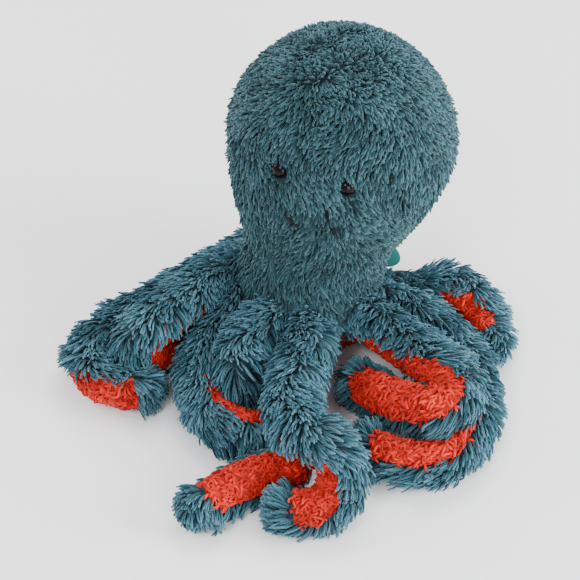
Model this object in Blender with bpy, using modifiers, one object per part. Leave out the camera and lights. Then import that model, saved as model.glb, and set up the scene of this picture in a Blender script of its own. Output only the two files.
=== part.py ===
"""Plush octopus: a pear-shaped stuffed sack on eight curled arms, teal above and orange below.

Metres, +Z up. The face looks along -Y. The origin lies on the floor, under the middle of the toy.
"""

import math

import bmesh
import bpy
import numpy as np
from mathutils import Matrix, Vector
from mathutils.bvhtree import BVHTree

# Clearances and fabric
SEAM_GAP = 0.0003
FLOOR_GAP = 0.0004
FABRIC_WALL = 0.0026
CUT_OVERRUN = 0.004

# Middle of the toy's footprint, seen from the sack's foot
FOOT_X = 0.02024
FOOT_Y = 0.04921

# Sack: one bag that is foot, neck and head
BASE_RADIUS = 0.036
NECK_RADIUS = 0.0495
HEAD_RADIUS = 0.0765
BOWL_HEIGHT = 0.021
NECK_HEIGHT = 0.052
NECK_SET_LEFT = 0.003
WAIST_DEPTH = 0.0035
WAIST_RISE = 0.074
WAIST_SPREAD = 0.020
HEAD_HEIGHT = 0.139
HEAD_SET_BACK = 0.038
HEAD_SET_RIGHT = 0.018
FACE_TURN = math.radians(-18)
SACK_RING_STEP = 0.0175
PANEL_FACETS = 6
FRONT_PANEL_ANGLE = math.radians(120)
CROWN_EYELET = 0.0035
BOWL_FACETS = 4

# Bean pouch in the foot
POUCH_RADIUS = 0.030
POUCH_HEIGHT = 0.014
POUCH_FACETS = 8

# Eyes, mouth and side tag
EYE_RADIUS = 0.0062
EYE_DOME_HEIGHT = 0.0042
EYE_SPREAD = math.radians(17.5)
EYE_RISE = 0.137
EYE_FACETS = 4
EYE_STEPS = 14
SHANK_RADIUS = 0.0016
SHANK_LENGTH = 0.0075
SHANK_CLEARANCE = 0.0003
WASHER_RADIUS = 0.0065
WASHER_THICKNESS = 0.0012
WASHER_SET_IN = 0.0017
MOUTH_RISE = 0.1125
MOUTH_TURN = math.radians(-5)
MOUTH_HALF_ANGLE = math.radians(15.5)
MOUTH_SAG = 0.006
THREAD_RADIUS = 0.0007
THREAD_LIFT = 0.0006
MOUTH_POINTS = 10
TAG_WIDTH = 0.017
TAG_LENGTH = 0.023
TAG_THICKNESS = 0.0006
TAG_RISE = 0.041
TAG_ANGLE = math.radians(-119)
TAG_LIFT = 0.0008
TAG_POINTS = 9

# Arms
ROUTE_SPAN = 0.100
ARM_RADIUS = 0.0134
ARM_TIP_RADIUS = 0.0110
ARM_TAPER_START_share = 0.60
LINING_HALF_ANGLE = math.radians(75)
LINING_END = 0.020
CLOSING_HALF_ANGLE = math.radians(3)
COVER_FACETS = 4
LINING_FACETS = 3
FILL_GAP = 0.00055
RING_STEP = 0.036
RING_TURN = math.radians(42)
RING_TWIST = math.radians(80)
TIP_ROUNDING_shares = (0.55, 0.20, 0.03)
PATH_SAMPLES = 400

# Routes of the arms from the sack's axis: right, forward, level and turn of the underside.
# Right and forward are shares of ROUTE_SPAN, a level is a height in arm radii, a turn is in degrees.
ARM_ROUTE_shares = {
    "front": (
        (-0.02, 0.26, 2.22, 0), (-0.05, 0.60, 2.65, 0), (-0.135, 1.04, 3.07, 0),
        (-0.18, 1.38, 3.13, 0), (-0.165, 1.52, 3.20, 0), (-0.09, 1.655, 3.26, 6),
        (0.04, 1.72, 3.14, 28), (0.14, 1.83, 2.35, 60), (0.10, 1.965, 1.42, 92),
        (-0.05, 2.035, 1.0, 114), (-0.34, 2.02, 1.0, 128),
    ),
    "front_left": (
        (-0.16, 0.20, 2.22, 0), (-0.34, 0.48, 2.74, 0), (-0.46, 0.70, 3.06, 0),
        (-0.50, 0.84, 3.06, 0), (-0.52, 0.94, 2.76, 0), (-0.53, 0.98, 2.03, 0),
        (-0.52, 0.94, 1.30, 0), (-0.50, 0.84, 1.0, 0), (-0.47, 0.70, 1.0, 0),
        (-0.46, 0.57, 1.0, 0),
    ),
    "left": (
        (-0.26, 0.00, 2.22, 0), (-0.51, 0.18, 2.07, -15), (-0.67, 0.46, 1.88, -45),
        (-0.80, 0.74, 1.60, -70), (-0.755, 1.09, 1.05, -88), (-0.59, 1.30, 1.0, -98),
        (-0.36, 1.38, 1.0, -98), (-0.21, 1.44, 1.0, -106), (-0.155, 1.56, 1.0, -122),
        (-0.23, 1.69, 1.0, -135), (-0.40, 1.75, 1.0, -145), (-0.60, 1.86, 1.0, -155),
        (-0.86, 2.10, 1.0, -155),
    ),
    "rear_left": (
        (-0.20, -0.16, 2.22, 0), (-0.54, -0.18, 2.22, -10), (-0.82, 0.12, 2.81, -30),
        (-0.99, 0.38, 3.05, -40), (-1.16, 0.56, 3.05, -40), (-1.23, 0.63, 2.76, -40),
        (-1.26, 0.66, 2.03, -40), (-1.23, 0.63, 1.30, -45), (-1.16, 0.56, 1.0, -50),
        (-0.98, 0.42, 1.0, -50), (-0.84, 0.18, 1.0, -50),
    ),
    "back_left": (
        (0.00, -0.26, 2.22, 0), (-0.20, -0.53, 1.48, -28), (-0.50, -0.51, 1.0, -72),
        (-0.84, -0.22, 1.0, -92), (-1.14, 0.05, 1.0, -46), (-1.43, 0.28, 1.0, 2),
        (-1.62, 0.54, 1.0, 44), (-1.57, 0.79, 1.0, 84), (-1.36, 0.92, 1.0, 120),
        (-1.10, 0.92, 1.0, 138),
    ),
    "front_right": (
        (0.17, 0.20, 2.22, 0), (0.38, 0.44, 2.52, 26), (0.61, 0.72, 2.81, 56),
        (0.80, 0.95, 3.07, 67), (0.92, 1.09, 3.07, 84), (0.955, 1.20, 3.05, 108),
        (0.90, 1.315, 2.95, 137), (0.79, 1.35, 2.75, 160), (0.67, 1.285, 2.50, 176),
        (0.45, 1.09, 1.84, 184), (0.21, 0.83, 1.30, 184),
    ),
    "right": (
        (0.26, 0.04, 1.90, 0), (0.52, 0.19, 2.15, 15), (0.79, 0.35, 1.72, 35),
        (1.0, 0.55, 1.15, 58), (1.085, 0.84, 1.0, 85), (1.05, 1.24, 1.0, 115),
        (0.89, 1.54, 1.0, 135), (0.67, 1.62, 1.0, 148), (0.45, 1.54, 1.0, 155),
        (0.27, 1.38, 1.0, 155),
    ),
    "back_right": (
        (0.20, -0.10, 1.50, 0), (0.50, -0.10, 1.02, 15), (0.75, -0.08, 1.05, 38),
        (0.97, -0.08, 1.42, 64), (1.13, 0.07, 1.45, 93), (1.23, 0.32, 1.12, 121),
        (1.255, 0.57, 1.0, 141),
    ),
}
# The route point at which an arm bends, none where it moves as one, and the way its tip opens
ELBOW_POINT = {
    "front": 3, "front_left": None, "left": 5, "rear_left": None,
    "back_left": 3, "front_right": 6, "right": 5, "back_right": 4,
}

ELBOW_OPENS = {
    "front": "up", "left": "right", "back_left": "up",
    "front_right": "up", "right": "left", "back_right": "left",
}
LIFTING_ARMS = ("front", "front_left", "rear_left", "front_right", "back_right")

TEAL = (0.050, 0.145, 0.165)
ORANGE = (0.760, 0.062, 0.022)
STUFFING_WHITE = (0.80, 0.80, 0.77)
EYE_BROWN = (0.018, 0.009, 0.006)
WASHER_WHITE = (0.70, 0.70, 0.68)
THREAD_DARK = (0.010, 0.022, 0.026)
TAG_TEAL = (0.012, 0.235, 0.225)
POUCH_GREY = (0.32, 0.32, 0.33)


def clear_scene():
    """Empties the scene, so the script can be run twice."""
    for item in list(bpy.data.objects):
        bpy.data.objects.remove(item)


def collection(name):
    """Makes a collection under the scene's own."""
    group = bpy.data.collections.new(name)
    bpy.context.scene.collection.children.link(group)
    return group


def material(name, colour, roughness, metallic=0.0):
    """Makes a plain Principled material."""
    made = bpy.data.materials.new(name)
    made.use_nodes = True
    shader = made.node_tree.nodes["Principled BSDF"]
    shader.inputs["Base Color"].default_value = (*colour, 1.0)
    shader.inputs["Roughness"].default_value = roughness
    shader.inputs["Metallic"].default_value = metallic
    return made


def add_object(name, mesh, group, finish):
    """Links a mesh as a named part with a material of its own."""
    item = bpy.data.objects.new(name, mesh)
    group.objects.link(item)
    if finish:
        mesh.materials.append(material(name, *finish))
    return item


def mesh_from_bmesh(name, shape):
    """Turns a bmesh into a smooth-shaded mesh with outward faces."""
    bmesh.ops.recalc_face_normals(shape, faces=shape.faces)
    mesh = bpy.data.meshes.new(name)
    shape.to_mesh(mesh)
    shape.free()
    mesh.shade_smooth()
    mesh.set_sharp_from_angle(angle=math.radians(50))
    return mesh


def smoothstep(value, low, high):
    """Rises from 0 to 1 between low and high with flat ends."""
    share = min(max((value - low) / (high - low), 0.0), 1.0)
    return share * share * (3.0 - 2.0 * share)


def smooth_path(points, count):
    """Reads a centripetal Catmull-Rom curve: its positions and the place of each given point."""
    steps = np.linalg.norm(np.diff(points[:, :3], axis=0), axis=1)
    knots = np.concatenate([[0.0], np.cumsum(np.sqrt(steps))])
    slopes = np.empty_like(points)
    slopes[1:-1] = (points[2:] - points[:-2]) / (knots[2:] - knots[:-2])[:, None]
    slopes[0] = (points[1] - points[0]) / (knots[1] - knots[0])
    slopes[-1] = (points[-1] - points[-2]) / (knots[-1] - knots[-2])
    place = np.linspace(0.0, knots[-1], count)
    left = np.clip(np.searchsorted(knots, place, side="right") - 1, 0, len(points) - 2)
    span = (knots[left + 1] - knots[left])[:, None]
    part = (place - knots[left])[:, None] / span
    start = 2 * part ** 3 - 3 * part ** 2 + 1
    leave = part ** 3 - 2 * part ** 2 + part
    arrive = part ** 3 - part ** 2
    curve = start * points[left] + leave * span * slopes[left]
    curve += (1 - start) * points[left + 1] + arrive * span * slopes[left + 1]
    return curve, np.searchsorted(place, knots).clip(0, count - 1)


def unit(vectors):
    """Scales vectors to length one."""
    return vectors / np.linalg.norm(vectors, axis=-1, keepdims=True)


def carried_frames(curve):
    """Carries a down vector along a curve without twist, and gives the tangents too."""
    tangents = unit(np.gradient(curve, axis=0))
    downs = np.empty_like(curve)
    down = np.array([0.0, 0.0, -1.0])
    for index, tangent in enumerate(tangents):
        down = down - tangent * down.dot(tangent)
        down = down / np.linalg.norm(down)
        downs[index] = down
    return tangents, downs


def even_angles(low, high, count):
    """Angles from low to high in even steps, both ends included."""
    return [low + (high - low) * step / count for step in range(count + 1)]


class Limb:
    """A stuffed tube: its rings along a path, with a radius and the underside's direction at each."""

    def __init__(self, centres, tangents, unders, radii, slants=None):
        self.centres = centres
        self.tangents = tangents
        self.unders = unders
        self.rights = np.cross(tangents, -unders)
        self.radii = radii
        if slants is None:
            slants = np.zeros(len(radii))
        self.slants = slants

    def spoke(self, ring, angle):
        """The way from a ring's centre at an angle from the underside."""
        return self.unders[ring] * math.cos(angle) + self.rights[ring] * math.sin(angle)

    def point(self, ring, angle, inset):
        """A point of a ring at an angle from the underside, set in square to the skin."""
        slant = self.slants[ring]
        radius = self.radii[ring] - inset * math.cos(slant)
        centre = self.centres[ring] - self.tangents[ring] * (inset * math.sin(slant))
        return centre + self.spoke(ring, angle) * radius

    def part(self, first, last, trim_start, trim_end):
        """The rings from first to last, with the end rings drawn in along the path."""
        keep = slice(first, last + 1)
        centres = self.centres[keep].copy()
        centres[0] += self.tangents[first] * trim_start
        centres[-1] -= self.tangents[last] * trim_end
        return Limb(centres, self.tangents[keep], self.unders[keep], self.radii[keep], self.slants[keep])


def split_face(shape, low, low_after, high_after, high):
    """Two triangles that share the diagonal from low to high_after, so that nested skins match."""
    shape.faces.new((low, low_after, high_after))
    shape.faces.new((low, high_after, high))


def shell_mesh(name, limb, edges, facets, wall):
    """A panel of fabric: an outer and an inner skin between two edge angles, closed round its rim."""
    shape = bmesh.new()
    count = len(limb.centres)
    skins = []
    for depth in (0.0, wall):
        skin = []
        for ring in range(count):
            angles = even_angles(*edges[ring], facets)
            skin.append([shape.verts.new(limb.point(ring, angle, depth)) for angle in angles])
        skins.append(skin)
    outer, inner = skins
    for ring in range(count - 1):
        for column in range(facets):
            for skin in skins:
                low, high = skin[ring], skin[ring + 1]
                split_face(shape, low[column], low[column + 1], high[column + 1], high[column])
        for column in (0, facets):
            split_face(shape, outer[ring][column], inner[ring][column],
                       inner[ring + 1][column], outer[ring + 1][column])
    for ring in (0, count - 1):
        for column in range(facets):
            shape.faces.new((outer[ring][column], outer[ring][column + 1],
                             inner[ring][column + 1], inner[ring][column]))
    return mesh_from_bmesh(name, shape)


def solid_mesh(name, limb, angles, inset):
    """A filled tube: rings at each ring's own angles, closed by a flat face at each end."""
    shape = bmesh.new()
    rings = []
    for ring in range(len(limb.centres)):
        rings.append([shape.verts.new(limb.point(ring, angle, inset)) for angle in angles[ring]])
    count = len(angles[0])
    for low, high in zip(rings, rings[1:]):
        for column in range(count):
            after = (column + 1) % count
            split_face(shape, low[column], low[after], high[after], high[column])
    shape.faces.new(rings[0])
    shape.faces.new(rings[-1])
    return mesh_from_bmesh(name, shape)


def cut(item, cutter):
    """Takes a cutter's volume out of a part."""
    modifier = item.modifiers.new("Cut", "BOOLEAN")
    modifier.operation = "DIFFERENCE"
    modifier.solver = "EXACT"
    modifier.object = cutter


def as_cutter(item):
    """Marks an object as a cutter, which is never shown."""
    item.hide_render = True
    item.display_type = "WIRE"
    return item


def sack_radius(rise, neck_rise, head_rise):
    """Radius of the sack at a distance along its axis: a bowl, a waisted neck, and a round head."""
    if rise > head_rise:
        return math.sqrt(HEAD_RADIUS ** 2 - (rise - head_rise) ** 2)
    rounding = min(rise / neck_rise, 1.0)
    bowl = math.sqrt(1.0 - (1.0 - rounding) ** 2)
    swell = smoothstep(rise, neck_rise, head_rise)
    waist = WAIST_DEPTH * math.exp(-((rise - WAIST_RISE) / WAIST_SPREAD) ** 2)
    waist *= 1.0 - smoothstep(rise, WAIST_RISE, head_rise)
    return BASE_RADIUS + (NECK_RADIUS - BASE_RADIUS) * bowl + (HEAD_RADIUS - NECK_RADIUS) * swell - waist


class Sack:
    """The bag's axis, upright at the foot and leaning with the head, and the rings along it."""

    def __init__(self):
        foot = np.array([FOOT_X, FOOT_Y, 0.0])
        head = foot + np.array([HEAD_SET_RIGHT, HEAD_SET_BACK, HEAD_HEIGHT])
        neck = foot + np.array([-NECK_SET_LEFT, 0.0, NECK_HEIGHT])
        low = foot + np.array([0.0, 0.0, NECK_HEIGHT / 2])
        crown = head + unit(head - neck) * HEAD_RADIUS
        self.curve, knots = smooth_path(np.array([foot, low, neck, head, crown]), PATH_SAMPLES)
        steps = np.linalg.norm(np.diff(self.curve, axis=0), axis=1)
        self.rises = np.concatenate([[0.0], np.cumsum(steps)])
        self.neck_rise = self.rises[knots[2]]
        self.head_rise = self.rises[knots[3]]
        lean = unit(crown - head)
        share = np.clip((self.rises - BOWL_HEIGHT) / (self.head_rise - BOWL_HEIGHT), 0.0, 1.0)[:, None]
        self.tangents = unit(np.array([0.0, 0.0, 1.0]) * (1 - share) + lean * share)

    def fronts(self):
        """The direction of the face at each sample: forward, turned, and square to the axis."""
        face = np.array([math.sin(FACE_TURN), -math.cos(FACE_TURN), 0.0])
        across = face - self.tangents * (self.tangents @ face)[:, None]
        return unit(across)

    def limb(self, rises, growth=0.0):
        """Rings of the sack at the given distances along its axis."""
        centres = np.stack([np.interp(rises, self.rises, self.curve[:, axis]) for axis in range(3)], 1)
        tangents = unit(np.stack([np.interp(rises, self.rises, self.tangents[:, a]) for a in range(3)], 1))
        fronts = self.fronts()
        unders = np.stack([np.interp(rises, self.rises, fronts[:, axis]) for axis in range(3)], 1)
        unders = unit(unders - tangents * np.sum(unders * tangents, axis=1, keepdims=True))
        sizes = np.array([sack_radius(rise, self.neck_rise, self.head_rise) for rise in rises])
        slants = [math.asin(max(rise - self.head_rise, 0.0) / HEAD_RADIUS) for rise in rises]
        limb = Limb(centres, tangents, unders, sizes, np.array(slants))
        limb.radii = limb.radii + growth
        return limb

    def ring_rises(self, start):
        """Even steps up to the head's middle, then even turns over the crown."""
        low_count = math.ceil((self.head_rise - start) / SACK_RING_STEP)
        rises = list(np.linspace(start, self.head_rise, low_count + 1))
        turns = math.ceil(math.pi / 2 * HEAD_RADIUS / SACK_RING_STEP)
        for step in range(1, turns):
            rises.append(self.head_rise + HEAD_RADIUS * math.sin(math.pi / 2 * step / turns))
        rises.append(self.head_rise + math.sqrt(HEAD_RADIUS ** 2 - CROWN_EYELET ** 2))
        return rises


def turned(name, profile, steps, group, finish, closed=False):
    """Turns a profile of radius and height about the Z axis with a Screw modifier."""
    shape = bmesh.new()
    corners = [shape.verts.new((radius, 0.0, height)) for radius, height in profile]
    for near, far in zip(corners, corners[1:]):
        shape.edges.new((near, far))
    if closed:
        shape.edges.new((corners[-1], corners[0]))
    mesh = bpy.data.meshes.new(name)
    shape.to_mesh(mesh)
    shape.free()
    item = add_object(name, mesh, group, finish)
    screw = item.modifiers.new("Turn", "SCREW")
    screw.steps = steps
    screw.render_steps = steps
    screw.use_merge_vertices = True
    screw.merge_threshold = 0.00005
    screw.use_smooth_shade = True
    return item


def place(item, spot, out):
    """Stands a part on a spot with its Z axis along the way out."""
    item.location = Vector(spot)
    item.rotation_mode = "QUATERNION"
    item.rotation_quaternion = Vector(out).to_track_quat("Z", "Y")


def panel_edges(count, low, high, radii):
    """Edge angles of a sack panel at each ring, drawn in by half the seam's gap."""
    return [(low + SEAM_GAP / 2 / radii[ring], high - SEAM_GAP / 2 / radii[ring]) for ring in range(count)]


def make_sack(group, sack):
    """The bag's three upper panels, its bowl-shaped base, its stuffing and its bean pouch."""
    rises = sack.ring_rises(BOWL_HEIGHT)
    limb = sack.limb(rises)
    half = FRONT_PANEL_ANGLE
    turns = {
        "sack_front_left_panel": (0.0, half),
        "sack_front_right_panel": (-half, 0.0),
        "sack_back_panel": (half, 2 * math.pi - half),
    }
    panels = {}
    for name, (low, high) in turns.items():
        edges = panel_edges(len(rises), low, high, limb.radii)
        mesh = shell_mesh(name, limb, edges, PANEL_FACETS, FABRIC_WALL)
        panels[name] = add_object(name, mesh, group, (TEAL, 0.95))

    bowl_rises = even_angles(0.0, BOWL_HEIGHT - SEAM_GAP, BOWL_FACETS)
    sizes = [sack_radius(rise, sack.neck_rise, sack.head_rise) for rise in bowl_rises]
    outer = [(radius, rise) for radius, rise in zip(sizes, bowl_rises)]
    inner = [(radius - FABRIC_WALL, max(rise, FABRIC_WALL)) for radius, rise in outer]
    profile = [(0.0, FABRIC_WALL), *inner, *reversed(outer), (0.0, 0.0)]
    base = turned("base_panel", profile, 3 * PANEL_FACETS, group, (ORANGE, 0.95))
    base.location = (FOOT_X, FOOT_Y, 0.0)
    base.rotation_euler = (0.0, 0.0, FACE_TURN - math.pi / 2)

    fill_start = FABRIC_WALL + POUCH_HEIGHT + 2 * SEAM_GAP
    fill = sack.limb([fill_start, *rises[:-1]])
    ring = even_angles(0.0, 2 * math.pi, 3 * PANEL_FACETS)[:-1]
    mesh = solid_mesh("sack_stuffing", fill, [ring] * len(rises), FABRIC_WALL + SEAM_GAP)
    stuffing = add_object("sack_stuffing", mesh, group, (STUFFING_WHITE, 1.0))

    bulge = [math.pi * step / POUCH_FACETS for step in range(POUCH_FACETS + 1)]
    pouch_profile = [
        (POUCH_RADIUS * math.sin(turn) ** 0.5, POUCH_HEIGHT / 2 * (1 + math.cos(turn))) for turn in bulge
    ]
    pouch = turned("bean_pouch", pouch_profile, 2 * PANEL_FACETS, group, (POUCH_GREY, 0.9))
    pouch.location = (FOOT_X, FOOT_Y, FABRIC_WALL + SEAM_GAP)
    return panels, stuffing


def panel_tree(panels):
    """A search tree over the outer panels, for seating parts on the cloth."""
    corners = []
    faces = []
    for item in panels.values():
        start = len(corners)
        corners.extend(corner.co.copy() for corner in item.data.vertices)
        faces.extend([start + index for index in face.vertices] for face in item.data.polygons)
    return BVHTree.FromPolygons(corners, faces)


def seat_on(tree, sack, rise, angle):
    """Where the line from the sack's axis at a rise and an angle leaves the cloth, and the way out."""
    near = sack.limb([rise])
    spoke = near.spoke(0, angle)
    far = near.centres[0] + spoke * (2 * HEAD_RADIUS)
    spot, out, _, _ = tree.ray_cast(Vector(far), Vector(-spoke))
    return np.array(spot), np.array(out)


def make_eyes(group, cutters, sack, tree, panels, stuffing):
    """Domed eyes on shanks through the cloth, each locked by a washer inside."""
    dome = [math.pi / 2 * step / EYE_FACETS for step in range(EYE_FACETS + 1)]
    eye_profile = [(EYE_RADIUS * math.sin(turn), EYE_DOME_HEIGHT * math.cos(turn)) for turn in dome]
    eye_profile += [(SHANK_RADIUS, 0.0), (SHANK_RADIUS, -SHANK_LENGTH), (0.0, -SHANK_LENGTH)]
    bore = SHANK_RADIUS + SHANK_CLEARANCE
    half = WASHER_THICKNESS / 2
    washer_profile = [(bore, half), (WASHER_RADIUS, half), (WASHER_RADIUS, -half), (bore, -half)]
    washer_depth = FABRIC_WALL + WASHER_SET_IN + half
    pocket_depth = SHANK_LENGTH + SEAM_GAP
    pocket_radius = WASHER_RADIUS + SHANK_CLEARANCE
    for side, sign in (("left", 1), ("right", -1)):
        spot, out = seat_on(tree, sack, EYE_RISE, sign * EYE_SPREAD)
        eye = turned("eye_" + side, eye_profile, EYE_STEPS, group, (EYE_BROWN, 0.12))
        place(eye, spot + out * SEAM_GAP, out)
        washer = turned("eye_washer_" + side, washer_profile, EYE_STEPS, group, (WASHER_WHITE, 0.4), True)
        place(washer, spot - out * washer_depth, out)
        hole_profile = [
            (0.0, CUT_OVERRUN), (bore, CUT_OVERRUN), (bore, -pocket_depth), (0.0, -pocket_depth),
        ]
        hole = as_cutter(turned("shank_hole_" + side, hole_profile, EYE_STEPS, cutters, None))
        place(hole, spot, out)
        cut(panels["sack_front_" + side + "_panel"], hole)
        top = CUT_OVERRUN
        pocket_profile = [
            (0.0, top), (pocket_radius, top), (pocket_radius, -pocket_depth), (0.0, -pocket_depth),
        ]
        pocket = as_cutter(turned("washer_pocket_" + side, pocket_profile, EYE_STEPS, cutters, None))
        place(pocket, spot, out)
        cut(stuffing, pocket)


def make_mouth(group, sack, tree):
    """A stitched smile: one thread laid on the cloth across the centre seam."""
    curve = bpy.data.curves.new("mouth_stitch", "CURVE")
    curve.dimensions = "3D"
    curve.bevel_depth = THREAD_RADIUS
    curve.bevel_resolution = 1
    curve.use_fill_caps = True
    spline = curve.splines.new("POLY")
    spline.points.add(MOUTH_POINTS - 1)
    for index in range(MOUTH_POINTS):
        across = 2 * index / (MOUTH_POINTS - 1) - 1
        rise = MOUTH_RISE - MOUTH_SAG * (1 - across * across)
        spot, out = seat_on(tree, sack, rise, MOUTH_TURN + MOUTH_HALF_ANGLE * across)
        spline.points[index].co = (*(spot + out * (THREAD_RADIUS + THREAD_LIFT)), 1.0)
    item = bpy.data.objects.new("mouth_stitch", curve)
    group.objects.link(item)
    curve.materials.append(material("mouth_stitch", THREAD_DARK, 0.7))


def make_tag(group, sack, tree):
    """A bare woven label that stands out of the side seam, pointed above and below."""
    curve = bpy.data.curves.new("side_tag", "CURVE")
    curve.dimensions = "2D"
    curve.fill_mode = "BOTH"
    curve.extrude = TAG_THICKNESS / 2
    spline = curve.splines.new("POLY")
    spline.points.add(TAG_POINTS - 1)
    for index in range(TAG_POINTS):
        share = index / (TAG_POINTS - 1)
        bulge = TAG_WIDTH * math.sin(math.pi * share) ** 0.8
        spline.points[index].co = (bulge, TAG_LENGTH * (share - 0.5), 0.0, 1.0)
    spline.use_cyclic_u = True
    item = bpy.data.objects.new("side_tag", curve)
    group.objects.link(item)
    curve.materials.append(material("side_tag", TAG_TEAL, 0.8))
    low, _ = seat_on(tree, sack, TAG_RISE, TAG_ANGLE)
    high, _ = seat_on(tree, sack, TAG_RISE + TAG_LENGTH, TAG_ANGLE)
    up = unit(high - low)
    out = sack.limb([TAG_RISE + TAG_LENGTH / 2]).spoke(0, TAG_ANGLE)
    out = unit(out - up * out.dot(up))
    face = np.cross(out, up)
    middle = (low + high) / 2 + out * TAG_LIFT
    item.matrix_world = Matrix((
        (out[0], up[0], face[0], middle[0]),
        (out[1], up[1], face[1], middle[1]),
        (out[2], up[2], face[2], middle[2]),
        (0.0, 0.0, 0.0, 1.0),
    ))


def sack_cutter(cutters, sack):
    """The sack's outer shape, grown by a seam's gap, which trims the arms' roots."""
    rises = even_angles(0.0, BOWL_HEIGHT, BOWL_FACETS)[:-1] + sack.ring_rises(BOWL_HEIGHT)
    limb = sack.limb(rises, SEAM_GAP)
    limb.centres[0] -= limb.tangents[0] * CUT_OVERRUN
    ring = even_angles(0.0, 2 * math.pi, 3 * PANEL_FACETS)[:-1]
    mesh = solid_mesh("sack_cutter", limb, [ring] * len(rises), 0.0)
    return as_cutter(add_object("sack_cutter", mesh, cutters, None))


class Arm:
    """One arm: its path, its rings, and the ring at which it bends."""

    def __init__(self, name):
        self.name = name
        table = np.array(ARM_ROUTE_shares[name])
        points = np.empty_like(table)
        points[:, 0] = FOOT_X + table[:, 0] * ROUTE_SPAN
        points[:, 1] = FOOT_Y - table[:, 1] * ROUTE_SPAN
        points[:, 2] = FLOOR_GAP + table[:, 2] * ARM_RADIUS
        points[:, 3] = np.radians(table[:, 3])
        samples, knots = smooth_path(points, PATH_SAMPLES)
        self.curve = samples[:, :3]
        self.tangents, downs = carried_frames(self.curve)
        rights = np.cross(self.tangents, -downs)
        turn = samples[:, 3:]
        self.unders = downs * np.cos(turn) + rights * np.sin(turn)
        steps = np.linalg.norm(np.diff(self.curve, axis=0), axis=1)
        self.lengths = np.concatenate([[0.0], np.cumsum(steps)])
        self.length = self.lengths[-1]
        bend = np.arccos(np.clip(np.sum(self.tangents[1:] * self.tangents[:-1], axis=1), -1.0, 1.0))
        twist = np.abs(np.diff(turn[:, 0]))
        costs = steps / RING_STEP + bend / RING_TURN + twist / RING_TWIST
        self.cost = np.concatenate([[0.0], np.cumsum(costs)])
        elbow = ELBOW_POINT[name]
        self.elbow_place = None if elbow is None else self.lengths[knots[elbow]]
        self.ring_places = self.rings()
        self.limb = self.read(np.array(self.ring_places))
        self.elbow_ring = None if elbow is None else self.ring_places.index(self.elbow_place)

    def rings(self):
        """Ring places: closer where the path turns, with one at the elbow and three over the tip."""
        stops = [0.0, self.length - LINING_END, self.length - ARM_TIP_RADIUS]
        if self.elbow_place is not None:
            stops.insert(1, self.elbow_place)
        places = [0.0]
        for low, high in zip(stops, stops[1:]):
            costs = np.interp([low, high], self.lengths, self.cost)
            count = max(1, math.ceil(costs[1] - costs[0]))
            inner = np.interp(np.linspace(costs[0], costs[1], count + 1)[1:-1], self.cost, self.lengths)
            places.extend([*inner, high])
        places.extend(self.length - ARM_TIP_RADIUS * share for share in TIP_ROUNDING_shares)
        return places

    def radius(self, place):
        """The arm's radius: even, then tapering, then rounded off over the tip."""
        start = self.length * ARM_TAPER_START_share
        taper = max(0.0, (place - start) / (self.length - start))
        size = ARM_RADIUS + (ARM_TIP_RADIUS - ARM_RADIUS) * taper
        left = min((self.length - place) / ARM_TIP_RADIUS, 1.0)
        return size * math.sqrt(1.0 - (1.0 - left) ** 2)

    def slant(self, place):
        """How far the skin leans in at a place over the rounded tip."""
        return math.asin(max(1.0 - (self.length - place) / ARM_TIP_RADIUS, 0.0))

    def read(self, places):
        """Rings at the given places."""
        def along(values):
            return np.stack([np.interp(places, self.lengths, values[:, axis]) for axis in range(3)], 1)
        tangents = unit(along(self.tangents))
        unders = along(self.unders)
        unders = unit(unders - tangents * np.sum(unders * tangents, axis=1, keepdims=True))
        radii = np.array([self.radius(place) for place in places])
        slants = np.array([self.slant(place) for place in places])
        return Limb(along(self.curve), tangents, unders, radii, slants)

    def half_angle(self, place):
        """Half the lining's angle: even along the arm, and closed over the tip."""
        return LINING_HALF_ANGLE if place <= self.length - LINING_END + SEAM_GAP else CLOSING_HALF_ANGLE

    def ring_angles(self, half):
        """Angles of the cover's and the lining's facets, once round the arm."""
        cover = even_angles(half, 2 * math.pi - half, COVER_FACETS)
        lining = even_angles(2 * math.pi - half, 2 * math.pi + half, LINING_FACETS)
        return [*cover, *lining[1:-1]]

    def segments(self):
        """Name and first and last ring of each length that moves as one."""
        last = len(self.ring_places) - 1
        if self.elbow_ring is None:
            return [(self.name + "_arm", 0, last)]
        return [
            (self.name + "_arm_root", 0, self.elbow_ring),
            (self.name + "_arm_tip", self.elbow_ring, last),
        ]

    def build(self, group, cutter):
        """Cover, lining and stuffing of each segment. Gives the parts by segment name."""
        made = {}
        last = len(self.ring_places) - 1
        for name, low, high in self.segments():
            draw_start = SEAM_GAP / 2 if low else 0.0
            draw_end = SEAM_GAP / 2 if high < last else 0.0
            limb = self.limb.part(low, high, draw_start, draw_end)
            halves = [self.half_angle(place) for place in self.ring_places[low:high + 1]]
            gaps = [SEAM_GAP / 2 / radius for radius in limb.radii]
            cover_edges = [(half + gap, 2 * math.pi - half - gap) for half, gap in zip(halves, gaps)]
            cover = shell_mesh(name + "_cover", limb, cover_edges, COVER_FACETS, FABRIC_WALL)
            lined = min(sum(half > CLOSING_HALF_ANGLE for half in halves), len(halves) - 1)
            lining_edges = [(gap - half, half - gap) for half, gap in zip(halves, gaps)]
            strip = limb.part(0, lined, 0.0, 0.0)
            lining = shell_mesh(name + "_lining", strip, lining_edges, LINING_FACETS, FABRIC_WALL)
            core_last = len(halves) - (2 if high == last else 1)
            core = limb.part(0, core_last, 0.0, 0.0)
            angles = [self.ring_angles(half) for half in halves]
            fill = solid_mesh(name + "_stuffing", core, angles, FABRIC_WALL + FILL_GAP)
            parts = [
                add_object(name + "_cover", cover, group, (TEAL, 0.95)),
                add_object(name + "_lining", lining, group, (ORANGE, 0.95)),
                add_object(name + "_stuffing", fill, group, (STUFFING_WHITE, 1.0)),
            ]
            if low == 0:
                for item in parts:
                    cut(item, cutter)
            made[name] = parts
        return made

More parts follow.
